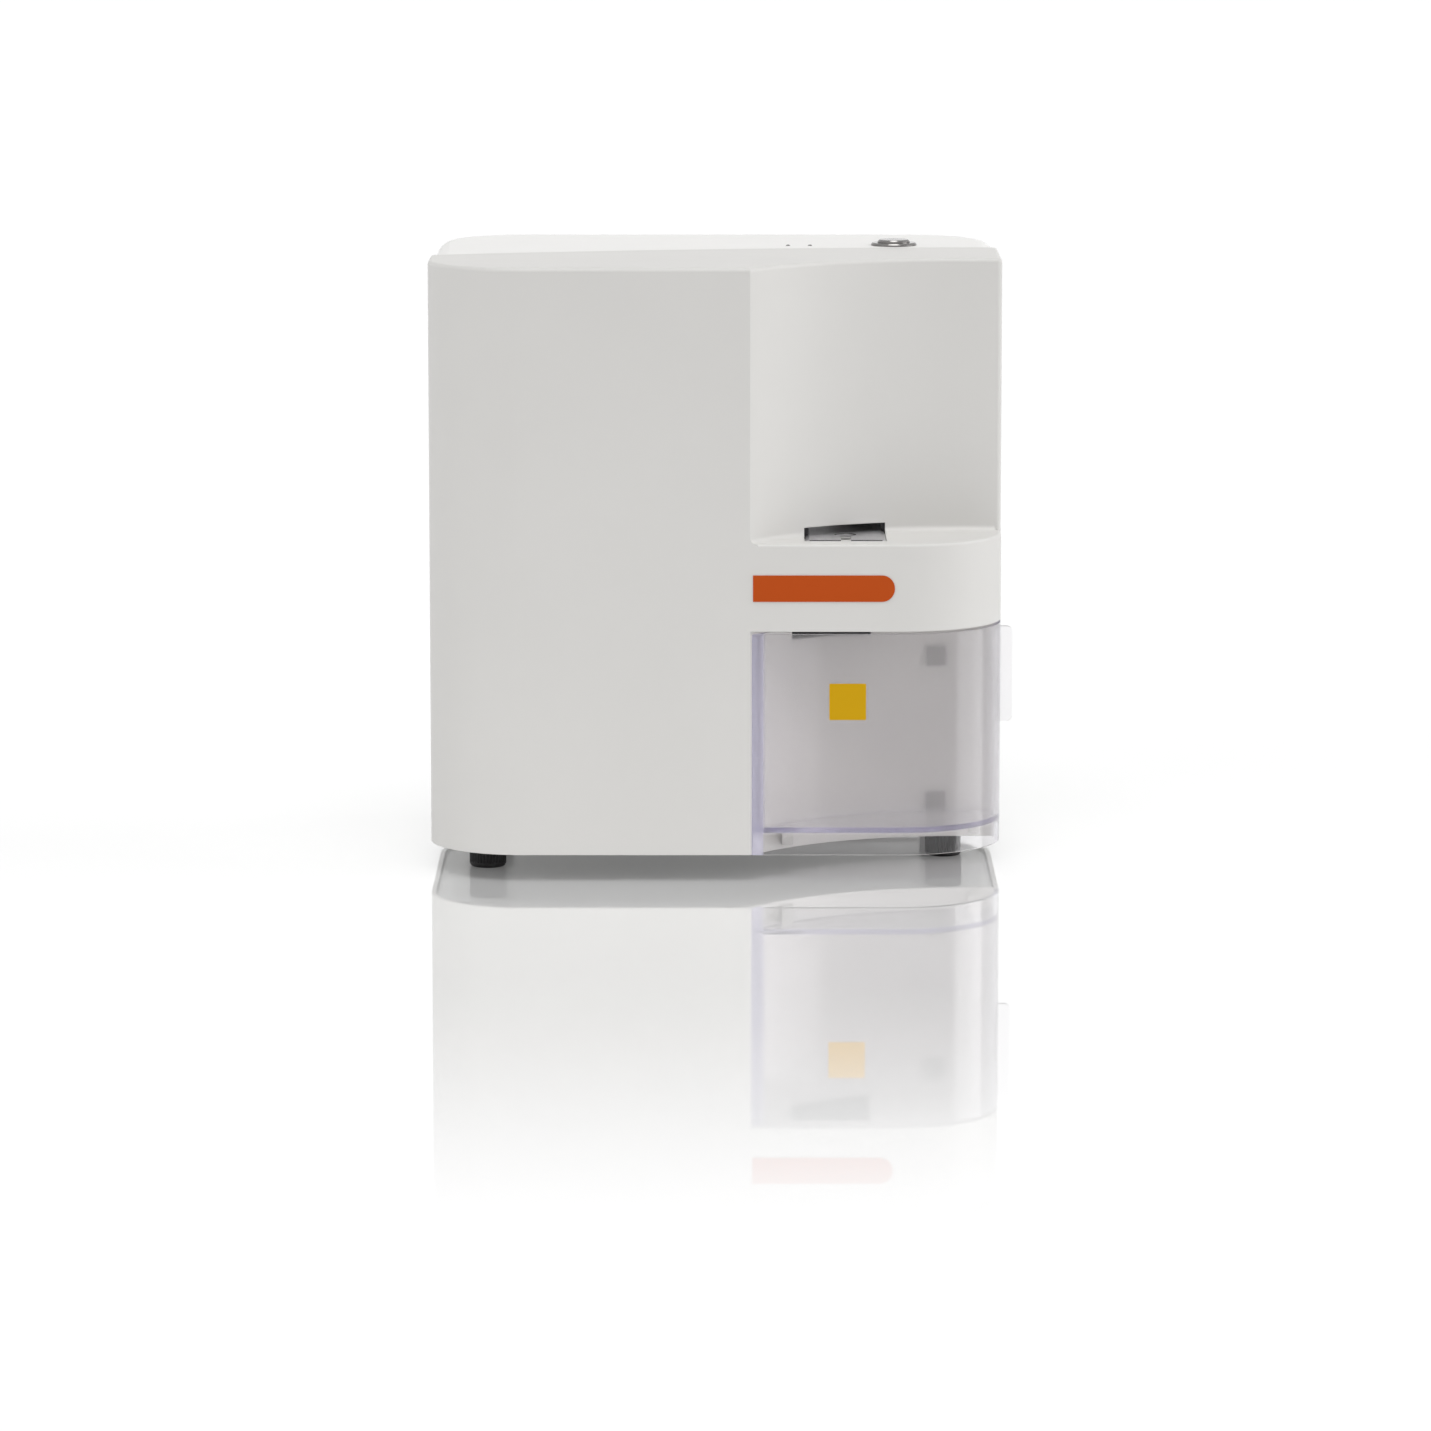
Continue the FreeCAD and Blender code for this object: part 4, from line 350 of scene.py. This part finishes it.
def toothed_belt(name, colour, roughness, pitch):
    """A rubber belt with its teeth drawn across it and cord lines along it."""
    material, tree, shader, where = new_material(name, colour, roughness)
    cords = noise(tree, where, scale=700.0, detail=3.0, stretch=(0.1, 1.0, 1.0))
    cloudy(tree, shader, cords, colour, depth=0.4)
    relief(tree, shader, bands(tree, where, "X", pitch), distance=0.5 * MM, strength=0.8)
    return material


def circuit(name, colour):
    """A circuit board: solder mask over tracks, with rows of bright pads."""
    material, tree, shader, where = new_material(name, colour, 0.4, Coat_Weight=0.3)
    inputs = {"Vector": where, "Scale": 160.0, "Mortar Size": 0.06}
    inputs.update({"Color1": shade(colour, 0.8), "Color2": shade(colour, 1.0), "Mortar": shade(colour, 1.9)})
    tracks = node(tree, "ShaderNodeTexBrick", inputs)
    inputs = {"Vector": where, "Scale": 220.0, "Randomness": 0.25}
    dots = node(tree, "ShaderNodeTexVoronoi", inputs)
    pad = calculate(tree, "LESS_THAN", dots.outputs["Distance"], 0.14)
    inputs = {"Base Color": (0.75, 0.76, 0.74, 1.0), "Metallic": 1.0, "Roughness": 0.3}
    tin = node(tree, "ShaderNodeBsdfPrincipled", inputs)
    tree.links.new(tracks.outputs["Color"], shader.inputs["Base Color"])
    relief(tree, shader, tracks.outputs["Fac"], distance=0.05 * MM, strength=0.6)
    mixed = mix(tree, pad, shader.outputs["BSDF"], tin.outputs["BSDF"])
    tree.links.new(mixed, output_of(tree).inputs["Surface"])
    return material


def finish(names, material):
    """Gives the named CAD pieces a material."""
    for name in names:
        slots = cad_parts[name].data.materials
        if len(slots) == 0:
            slots.append(material)
        for index in range(len(slots)):
            slots[index] = material


# Mesh helpers
def centre_of(name):
    low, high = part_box(name)
    return (low + high) / 2


def settle(name, bm, material, body):
    """Turns a bmesh into a piece that rides on a body."""
    bmesh.ops.remove_doubles(bm, verts=bm.verts[:], dist=1e-6)
    bmesh.ops.recalc_face_normals(bm, faces=bm.faces[:])
    mesh = bpy.data.meshes.new(name)
    bm.to_mesh(mesh)
    bm.free()
    mesh.shade_smooth()
    mesh.set_sharp_from_angle(angle=math.radians(35.0))
    piece = bpy.data.objects.new(name, mesh)
    bpy.context.scene.collection.objects.link(piece)
    mesh.materials.append(material)
    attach(piece, body)
    return piece


def turn(bm, profile, place, steps):
    """Spins (radius, height) points about the upright axis through place, and returns the new points."""
    points = [bm.verts.new((radius, 0.0, height)) for radius, height in profile]
    lines = [bm.edges.new(pair) for pair in zip(points, points[1:])]
    around = {"cent": (0, 0, 0), "axis": (0, 0, 1), "dvec": (0, 0, 0), "angle": 2 * math.pi}
    bmesh.ops.spin(bm, geom=points + lines, steps=steps, use_merge=True, **around)
    bmesh.ops.remove_doubles(bm, verts=bm.verts[:], dist=1e-7)
    bmesh.ops.transform(bm, matrix=Matrix.Translation(place), verts=bm.verts[:])
    return bm.verts[:]


def bar(bm, low, high, round_off):
    """A box between two corners, with its edges bevelled."""
    low, high = Vector(low), Vector(high)
    made = bmesh.ops.create_cube(bm, size=1.0)["verts"]
    bmesh.ops.scale(bm, vec=high - low, verts=made)
    bmesh.ops.translate(bm, vec=(low + high) / 2, verts=made)
    edges = list({edge for vert in made for edge in vert.link_edges})
    shape = {"affect": "EDGES", "segments": 2, "profile": 0.5, "material": -1}
    bmesh.ops.bevel(bm, geom=edges, offset=round_off, **shape)


# Settings
def colour_setting(label, about, default):
    return bpy.props.FloatVectorProperty(name=label, description=about, subtype="COLOR", default=default)


def length_setting(label, about, default, low, high):
    kind = {"subtype": "DISTANCE", "unit": "LENGTH"}
    return bpy.props.FloatProperty(name=label, description=about, default=default, min=low, max=high, **kind)


def share_setting(label, about, default):
    kind = {"subtype": "FACTOR", "min": 0.0, "max": 1.0}
    return bpy.props.FloatProperty(name=label, description=about, default=default, **kind)


def count_setting(label, about, default, low, high):
    return bpy.props.IntProperty(name=label, description=about, default=default, min=low, max=high)


class AnalyzerSettings(bpy.types.PropertyGroup):
    """Sizes and colours of the finished analyzer."""

    shell_colour: colour_setting("Front shell", "Plastic of the front shell and ledge", (0.64, 0.631, 0.613))
    cover_colour: colour_setting("Rear cover", "Plastic of the rear cover", (0.797, 0.789, 0.774))
    bin_tint: colour_setting("Bin", "Clear plastic of the waste bin", (0.938, 0.931, 0.92))
    edge_tint: colour_setting("Bin edges", "What the bin turns where it is thick", (0.6, 0.575, 0.86))
    strip_colour: colour_setting("Strip", "Film of the bare strip on the ledge", (0.46, 0.068, 0.006))
    label_colour: colour_setting("Square label", "Film of the bare square label", (0.57, 0.325, 0.002))
    rubber_colour: colour_setting("Feet", "Rubber of the feet", (0.018, 0.017, 0.018))
    foot_ribs: count_setting("Foot ribs", "Ribs round each foot", 36, 12, 60)
    rib_depth: length_setting("Rib depth", "Depth of the feet's grooves", 0.7 * MM, 0.0, 1.5 * MM)
    frost: share_setting("Frost", "How milky the bin is", 0.09)
    bin_tip: length_setting("Bin tip", "Width of the bin's thick upright edge", 6.0 * MM, 2.0 * MM, 10.0 * MM)
    sheet_thickness: length_setting("Tray sheet", "Steel on the loading tray", 0.55 * MM, 0.2 * MM, 1.0 * MM)
    port_contacts: count_setting("Port contacts", "Gold contacts in the data port", 8, 4, 10)
    gloss_of_floor: share_setting("Floor gloss", "Strength of the reflection next to the feet", 0.64)


# Steps
class ANALYZER_OT_housing(bpy.types.Operator):
    """Finishes the front shell, the rear cover, the base plate, the deck and the bin's brackets"""

    bl_idname = "analyzer.housing"
    bl_label = "Housing"

    def execute(self, context):
        look = context.scene.analyzer
        bracket_colour = shade(look.shell_colour, 0.95)[:3]
        finish(["front_shell"], moulded("shell_plastic", look.shell_colour, 0.46, SHELL_GRAIN, edge=0.7 * MM))
        finish(["rear_cover"], moulded("cover_plastic", look.cover_colour, 0.44, SHELL_GRAIN, edge=0.5 * MM))
        finish(["bin_brackets"], moulded("bracket_plastic", bracket_colour, 0.5, SHELL_GRAIN))
        finish(["base_plate"], coated("base_coating", (0.62, 0.62, 0.61), 0.5))
        finish(["deck_plate", "deck_posts"], drawn_metal("deck_metal", (0.72, 0.73, 0.74), 0.3, ALONG_X))
        return {"FINISHED"}


class ANALYZER_OT_feet(bpy.types.Operator):
    """Makes the four ribbed rubber feet"""

    bl_idname = "analyzer.feet"
    bl_label = "Feet"

    def execute(self, context):
        look = context.scene.analyzer
        material = rubber("foot_rubber", look.rubber_colour, 0.62)
        bore, pocket, pocket_mouth = 1.75 * MM, 4.0 * MM, 4.5 * MM
        pocket_roof, chamfer, flare = 5.0 * MM, 0.4 * MM, 1.8 * MM
        grooves_from, grooves_to = 2.9 * MM, 0.82
        for name in ("foot_front_left", "foot_front_right", "foot_rear_left", "foot_rear_right"):
            low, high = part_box(name)
            place = Vector(((low.x + high.x) / 2, (low.y + high.y) / 2, low.z))
            radius, height = (high.x - low.x) / 2, high.z - low.z
            bm = bmesh.new()
            profile = [
                (bore, pocket_roof),
                (pocket, pocket_roof),
                (pocket, 0.6 * MM),
                (pocket_mouth, 0.0),
                (radius * 0.84, 0.0),
                (radius * 0.92, chamfer),
                (radius, flare),
                (radius, 2.6 * MM),
                (radius, 3.2 * MM),
                (radius, height * 0.8),
                (radius, height * 0.84),
                (radius, height - chamfer),
                (radius - chamfer, height),
                (bore, height),
                (bore, pocket_roof),
            ]
            # Four steps to a rib: two stay out and two go in
            made = turn(bm, profile, place, look.foot_ribs * 4)
            step = math.pi / (look.foot_ribs * 2)
            for vert in made:
                spot = vert.co - place
                reach = math.hypot(spot.x, spot.y)
                if reach < radius * 0.99 or not grooves_from < spot.z < height * grooves_to:
                    continue
                index = round(math.atan2(spot.y, spot.x) / step)
                if index % 4 < 2:
                    inward = (reach - look.rib_depth) / reach
                    vert.co = place + Vector((spot.x * inward, spot.y * inward, spot.z))
            piece = settle("ribbed_" + name, bm, material, "root")
            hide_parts(name)
        return {"FINISHED"}


class ANALYZER_OT_waste_bin(bpy.types.Operator):
    """Finishes the clear waste bin, its strike plates and its magnets"""

    bl_idname = "analyzer.waste_bin"
    bl_label = "Waste bin"

    def execute(self, context):
        look = context.scene.analyzer
        skirt_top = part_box("bin_brackets")[1].z
        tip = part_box("waste_bin")[0].x + look.bin_tip
        right_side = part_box("front_shell")[1].x
        colours = (look.bin_tint, look.edge_tint)
        finish(["waste_bin"], clear_plastic("bin_plastic", *colours, look.frost, skirt_top, tip, right_side))
        finish(["bin_strike_plates"], coated("strike_coating", (0.24, 0.235, 0.235), 0.6))
        centre = centre_of("bin_magnets")
        finish(["bin_magnets"], turned_metal("magnet_nickel", (0.6, 0.59, 0.57), 0.25, centre, ROUND_Y))
        return {"FINISHED"}


class ANALYZER_OT_labels(bpy.types.Operator):
    """Finishes the bare strip on the ledge and the bare square label"""

    bl_idname = "analyzer.labels"
    bl_label = "Strip and label"

    def execute(self, context):
        look = context.scene.analyzer
        strip = printed_film("strip_film", look.strip_colour, *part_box("name_strip"), border=0.5 * MM)
        label = printed_film("label_film", look.label_colour, *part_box("bin_label"), border=0.4 * MM)
        finish(["name_strip"], strip)
        finish(["bin_label"], label)
        return {"FINISHED"}


class ANALYZER_OT_loading_tray(bpy.types.Operator):
    """Makes the steel sheet on the loading tray; finishes the tray, its rails, its drive and the chute"""

    bl_idname = "analyzer.loading_tray"
    bl_label = "Loading tray"

    def execute(self, context):
        look = context.scene.analyzer
        steel = drawn_metal("tray_steel", (0.6, 0.592, 0.61), 0.36, (1.0, 0.03, 1.0))
        finish(["loading_tray"], steel)

        # The sheet is the tray's top face, a little narrower, with a wall
        margins, flat = 4.0 * MM, 0.01 * MM
        low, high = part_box("loading_tray")
        bm = bmesh.new()
        bm.from_mesh(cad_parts["loading_tray"].data)
        lower = [face for face in bm.faces if min(vert.co.z for vert in face.verts) < high.z - flat]
        bmesh.ops.delete(bm, geom=lower, context="FACES")
        bmesh.ops.remove_doubles(bm, verts=bm.verts[:], dist=1e-6)
        middle = Matrix.Translation((-(low.x + high.x) / 2, 0.0, 0.0))
        width = high.x - low.x
        bmesh.ops.scale(bm, vec=((width - margins) / width, 1.0, 1.0), space=middle, verts=bm.verts[:])
        bmesh.ops.solidify(bm, geom=bm.faces[:], thickness=look.sheet_thickness)
        lowest = min(vert.co.z for vert in bm.verts)
        bmesh.ops.translate(bm, vec=(0.0, 0.0, high.z - lowest), verts=bm.verts[:])
        sheet = settle("tray_sheet", bm, steel, "tray")
        # The sheet's side faces are near black: painted shade for the dark line along the sheet's front edge
        sheet.data.materials.append(drawn_metal("painted_shade_edge", (0.09, 0.088, 0.09), 0.5, (1.0, 1.0, 0.05)))
        for face in sheet.data.polygons:
            if abs(face.normal.z) < 0.5:
                face.material_index = 1

        rails = moulded("rail_plastic", (0.03, 0.03, 0.033), 0.42, PLAIN_GRAIN)
        finish(["tray_rail_left", "tray_rail_right"], rails)
        finish(["tray_screw"], threaded("tray_screw_steel", (0.6, 0.6, 0.61), 0.25, "Y", pitch=8.0 * MM))
        nut = turned_metal("tray_nut_brass", (0.75, 0.58, 0.26), 0.28, centre_of("tray_nut"), ROUND_Y)
        finish(["tray_nut"], nut)
        # The chute is near black: painted shade for the dark gap between the ledge and the bin
        finish(["waste_chute"], coated("chute_painted_shade", (0.03, 0.03, 0.032), 0.5))
        return {"FINISHED"}


class ANALYZER_OT_push_button(bpy.types.Operator):
    """Finishes the push button and the two status lenses on the top"""

    bl_idname = "analyzer.push_button"
    bl_label = "Push button and lenses"

    def execute(self, context):
        steel = turned_metal("button_steel", (0.2, 0.195, 0.19), 0.1, centre_of("button_cap"))
        finish(["button_housing", "button_cap", "button_nut"], steel)
        finish(["status_lenses"], lens("smoked_lens", (0.22, 0.22, 0.21), 0.12))
        return {"FINISHED"}


class ANALYZER_OT_fasteners(bpy.types.Operator):
    """Finishes the socket-head screws of the base, the feet and the back panel"""

    bl_idname = "analyzer.fasteners"
    bl_label = "Screws"

    def execute(self, context):
        zinc = drawn_metal("zinc_plating", (0.58, 0.58, 0.56), 0.34, EVEN)
        finish(["base_screws", "foot_screws", "panel_screws"], zinc)
        return {"FINISHED"}


class ANALYZER_OT_back_panel(bpy.types.Operator):
    """Makes the data port's contacts; finishes the back panel, the fan and the two sockets"""

    bl_idname = "analyzer.back_panel"
    bl_label = "Back panel"

    def execute(self, context):
        look = context.scene.analyzer
        finish(["back_panel"], coated("panel_coating", (0.66, 0.66, 0.65), 0.45))
        finish(["fan_frame", "fan_rotor"], moulded("fan_plastic", (0.02, 0.02, 0.022), 0.4, FINE_GRAIN))
        finish(["power_inlet"], moulded("inlet_plastic", (0.018, 0.018, 0.02), 0.38, PLAIN_GRAIN))
        finish(["inlet_pins"], drawn_metal("pin_plating", (0.78, 0.74, 0.66), 0.2, ALONG_Y))
        finish(["data_port"], drawn_metal("port_plating", (0.66, 0.66, 0.67), 0.25, ALONG_Y))

        # The contacts lie against the roof of the port's opening
        gold = drawn_metal("contact_gold", (0.83, 0.6, 0.2), 0.2, ALONG_Y)
        pitch, width, height, round_off = 1.02 * MM, 0.5 * MM, 0.3 * MM, 0.08 * MM
        inner_end, outer_end, roof_above_middle = 9.0 * MM, 1.2 * MM, 4.2 * MM
        middle, mouth = centre_of("data_port"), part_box("data_port")[1].y
        roof = middle.z + roof_above_middle
        bm = bmesh.new()
        for index in range(look.port_contacts):
            x = middle.x + (index - (look.port_contacts - 1) / 2) * pitch
            low = (x - width / 2, mouth - inner_end, roof - height)
            high = (x + width / 2, mouth - outer_end, roof)
            bar(bm, low, high, round_off)
        settle("contact_row", bm, gold, "root")
        return {"FINISHED"}


class ANALYZER_OT_drives(bpy.types.Operator):
    """Finishes the shuttle, its rods and belt, and the motors"""

    bl_idname = "analyzer.drives"
    bl_label = "Drives"

    def execute(self, context):
        finish(["shuttle"], moulded("shuttle_plastic", (0.035, 0.035, 0.04), 0.4, PLAIN_GRAIN))
        finish(["shuttle_rods"], drawn_metal("rod_chrome", (0.78, 0.78, 0.79), 0.08, (0.02, 1.0, 1.0)))
        finish(["rod_blocks", "tray_motor_stand"], drawn_metal("block_metal", (0.7, 0.71, 0.72), 0.3, ALONG_Y))
        for name in ("drive_pulley", "idler_pulley"):
            finish([name], turned_metal(name + "_metal", (0.72, 0.72, 0.73), 0.22, centre_of(name)))
        bush = turned_metal("bush_brass", (0.75, 0.58, 0.26), 0.3, centre_of("idler_bush"))
        finish(["idler_bush"], bush)
        finish(["shuttle_belt"], toothed_belt("belt_rubber", (0.02, 0.02, 0.02), 0.6, pitch=2.0 * MM))
        lacquer = coated("motor_lacquer", (0.03, 0.03, 0.033), 0.4)
        finish(["tray_motor", "shuttle_motor", "focus_motor", "centrifuge_motor"], lacquer)
        return {"FINISHED"}


class ANALYZER_OT_centrifuge(bpy.types.Operator):
    """Finishes the centrifuge's bowl and rotor"""

    bl_idname = "analyzer.centrifuge"
    bl_label = "Centrifuge"

    def execute(self, context):
        finish(["centrifuge_bowl"], moulded("bowl_plastic", (0.33, 0.34, 0.35), 0.5, COARSE_GRAIN))
        rotor = turned_metal("rotor_metal", (0.74, 0.75, 0.76), 0.24, centre_of("centrifuge_rotor"))
        finish(["centrifuge_rotor"], rotor)
        return {"FINISHED"}


class ANALYZER_OT_microscope(bpy.types.Operator):
    """Finishes the microscope's frame, slide, objective, camera, screw and lamp"""

    bl_idname = "analyzer.microscope"
    bl_label = "Microscope"

    def execute(self, context):
        metal = drawn_metal("frame_metal", (0.7, 0.71, 0.73), 0.3, ALONG_Z)
        finish(["microscope_frame", "focus_slide"], metal)
        chrome = turned_metal("objective_chrome", (0.7, 0.7, 0.7), 0.16, centre_of("objective"))
        finish(["objective"], chrome)
        finish(["camera"], coated("camera_coating", (0.025, 0.025, 0.03), 0.35))
        finish(["focus_screw"], threaded("focus_screw_steel", (0.6, 0.6, 0.61), 0.25, "Z", pitch=1.0 * MM))
        finish(["condenser_lamp"], lens("condenser_lens", (0.85, 0.87, 0.9), 0.05))
        return {"FINISHED"}


class ANALYZER_OT_electronics(bpy.types.Operator):
    """Finishes the power supply, the main board and its chips"""

    bl_idname = "analyzer.electronics"
    bl_label = "Electronics"

    def execute(self, context):
        finish(["power_supply"], drawn_metal("supply_steel", (0.6, 0.6, 0.6), 0.34, (0.05, 1.0, 1.0)))
        finish(["main_board"], circuit("board_laminate", (0.02, 0.14, 0.05)))
        finish(["board_chips"], moulded("chip_resin", (0.03, 0.03, 0.032), 0.5, FINE_GRAIN))
        return {"FINISHED"}


class ANALYZER_OT_stage(bpy.types.Operator):
    """Makes the floor, the light and the camera"""

    bl_idname = "analyzer.stage"
    bl_label = "Stage"

    def execute(self, context):
        scene = context.scene
        scene.view_settings.view_transform = "Standard"
        self.make_floor(scene)
        self.make_world(scene)
        self.make_lamps(scene)
        self.make_camera(scene)
        return {"FINISHED"}

    def make_floor(self, scene):
        """A white sheet, glossy next to the feet and matt further to the front."""
        material = bpy.data.materials.new("floor_sheet")
        material.use_nodes = True
        tree = material.node_tree
        tree.nodes.clear()
        where = node(tree, "ShaderNodeTexCoord").outputs["Object"]
        split = node(tree, "ShaderNodeSeparateXYZ", {"Vector": where})
        limits = {"start": GLOSS_ENDS, "end": GLOSS_FULL, "interpolation_type": "SMOOTHSTEP"}
        fade = spread(tree, split.outputs["Y"], 0.0, scene.analyzer.gloss_of_floor, **limits)
        inputs = {"Color": (FLOOR_SHADE, FLOOR_SHADE, FLOOR_SHADE, 1.0), "Roughness": 0.2}
        matt = node(tree, "ShaderNodeBsdfDiffuse", inputs)
        inputs = {"Color": (1.0, 1.0, 1.0, 1.0), "Roughness": 0.012}
        sheen = node(tree, "ShaderNodeBsdfGlossy", inputs)
        lift = calculate(tree, "MULTIPLY", seen_directly(tree), FLOOR_LIFT)
        glow = node(tree, "ShaderNodeEmission", {"Strength": lift})
        inputs = {0: matt.outputs["BSDF"], 1: glow.outputs["Emission"]}
        sheet = node(tree, "ShaderNodeAddShader", inputs)
        both = mix(tree, fade, sheet.outputs["Shader"], sheen.outputs["BSDF"])
        node(tree, "ShaderNodeOutputMaterial", {"Surface": both})

        bm = bmesh.new()
        bmesh.ops.create_grid(bm, x_segments=8, y_segments=8, size=FLOOR_REACH)
        mesh = bpy.data.meshes.new("floor")
        bm.to_mesh(mesh)
        bm.free()
        mesh.materials.append(material)
        floor = bpy.data.objects.new("floor", mesh)
        scene.collection.objects.link(floor)

    def make_world(self, scene):
        """A white studio that is seen as pure white and lights the object less."""
        world = bpy.data.worlds.new("studio")
        scene.world = world
        world.use_nodes = True
        tree = world.node_tree
        tree.nodes.clear()
        level = spread(tree, seen_directly(tree), low=SKY_LIGHT, high=1.0)
        inputs = {"Color": (1.0, 1.0, 1.0, 1.0), "Strength": level}
        sky = node(tree, "ShaderNodeBackground", inputs)
        node(tree, "ShaderNodeOutputWorld", {"Surface": sky.outputs["Background"]})

    def make_lamps(self, scene):
        for name, turned_by, strength, angle in LAMPS:
            lamp = bpy.data.lights.new(name, "SUN")
            lamp.energy = strength
            lamp.angle = math.radians(angle)
            light = bpy.data.objects.new(name, lamp)
            light.rotation_euler = [math.radians(value) for value in turned_by]
            scene.collection.objects.link(light)

    def make_camera(self, scene):
        view = bpy.data.cameras.new("camera_view")
        view.lens = LENS
        view.sensor_width = SENSOR_WIDTH
        view.clip_end = SIGHT
        camera = bpy.data.objects.new("camera_view", view)
        camera.location = CAMERA_PLACE
        camera.rotation_euler = (math.radians(CAMERA_TILT), 0.0, 0.0)
        scene.collection.objects.link(camera)
        scene.camera = camera


STEPS = (
    ANALYZER_OT_housing,
    ANALYZER_OT_feet,
    ANALYZER_OT_waste_bin,
    ANALYZER_OT_labels,
    ANALYZER_OT_loading_tray,
    ANALYZER_OT_push_button,
    ANALYZER_OT_fasteners,
    ANALYZER_OT_back_panel,
    ANALYZER_OT_drives,
    ANALYZER_OT_centrifuge,
    ANALYZER_OT_microscope,
    ANALYZER_OT_electronics,
    ANALYZER_OT_stage,
)


class ANALYZER_PT_pieces(bpy.types.Panel):
    """Lists the steps and the values of the analyzer"""

    bl_label = "Urine Analyzer"
    bl_idname = "ANALYZER_PT_pieces"
    bl_space_type = "VIEW_3D"
    bl_region_type = "UI"
    bl_category = "Analyzer"

    def draw(self, context):
        look = context.scene.analyzer
        for name in AnalyzerSettings.__annotations__:
            self.layout.prop(look, name)
        for step in STEPS:
            self.layout.operator(step.bl_idname)


CLASSES = (AnalyzerSettings, *STEPS, ANALYZER_PT_pieces)


def register():
    for made in CLASSES:
        bpy.utils.register_class(made)
    bpy.types.Scene.analyzer = bpy.props.PointerProperty(type=AnalyzerSettings)


def unregister():
    del bpy.types.Scene.analyzer
    for made in reversed(CLASSES):
        bpy.utils.unregister_class(made)


def main():
    register()
    for step in STEPS:
        group, name = step.bl_idname.split(".")
        getattr(getattr(bpy.ops, group), name)()
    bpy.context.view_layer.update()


if __name__ == "__main__":
    main()
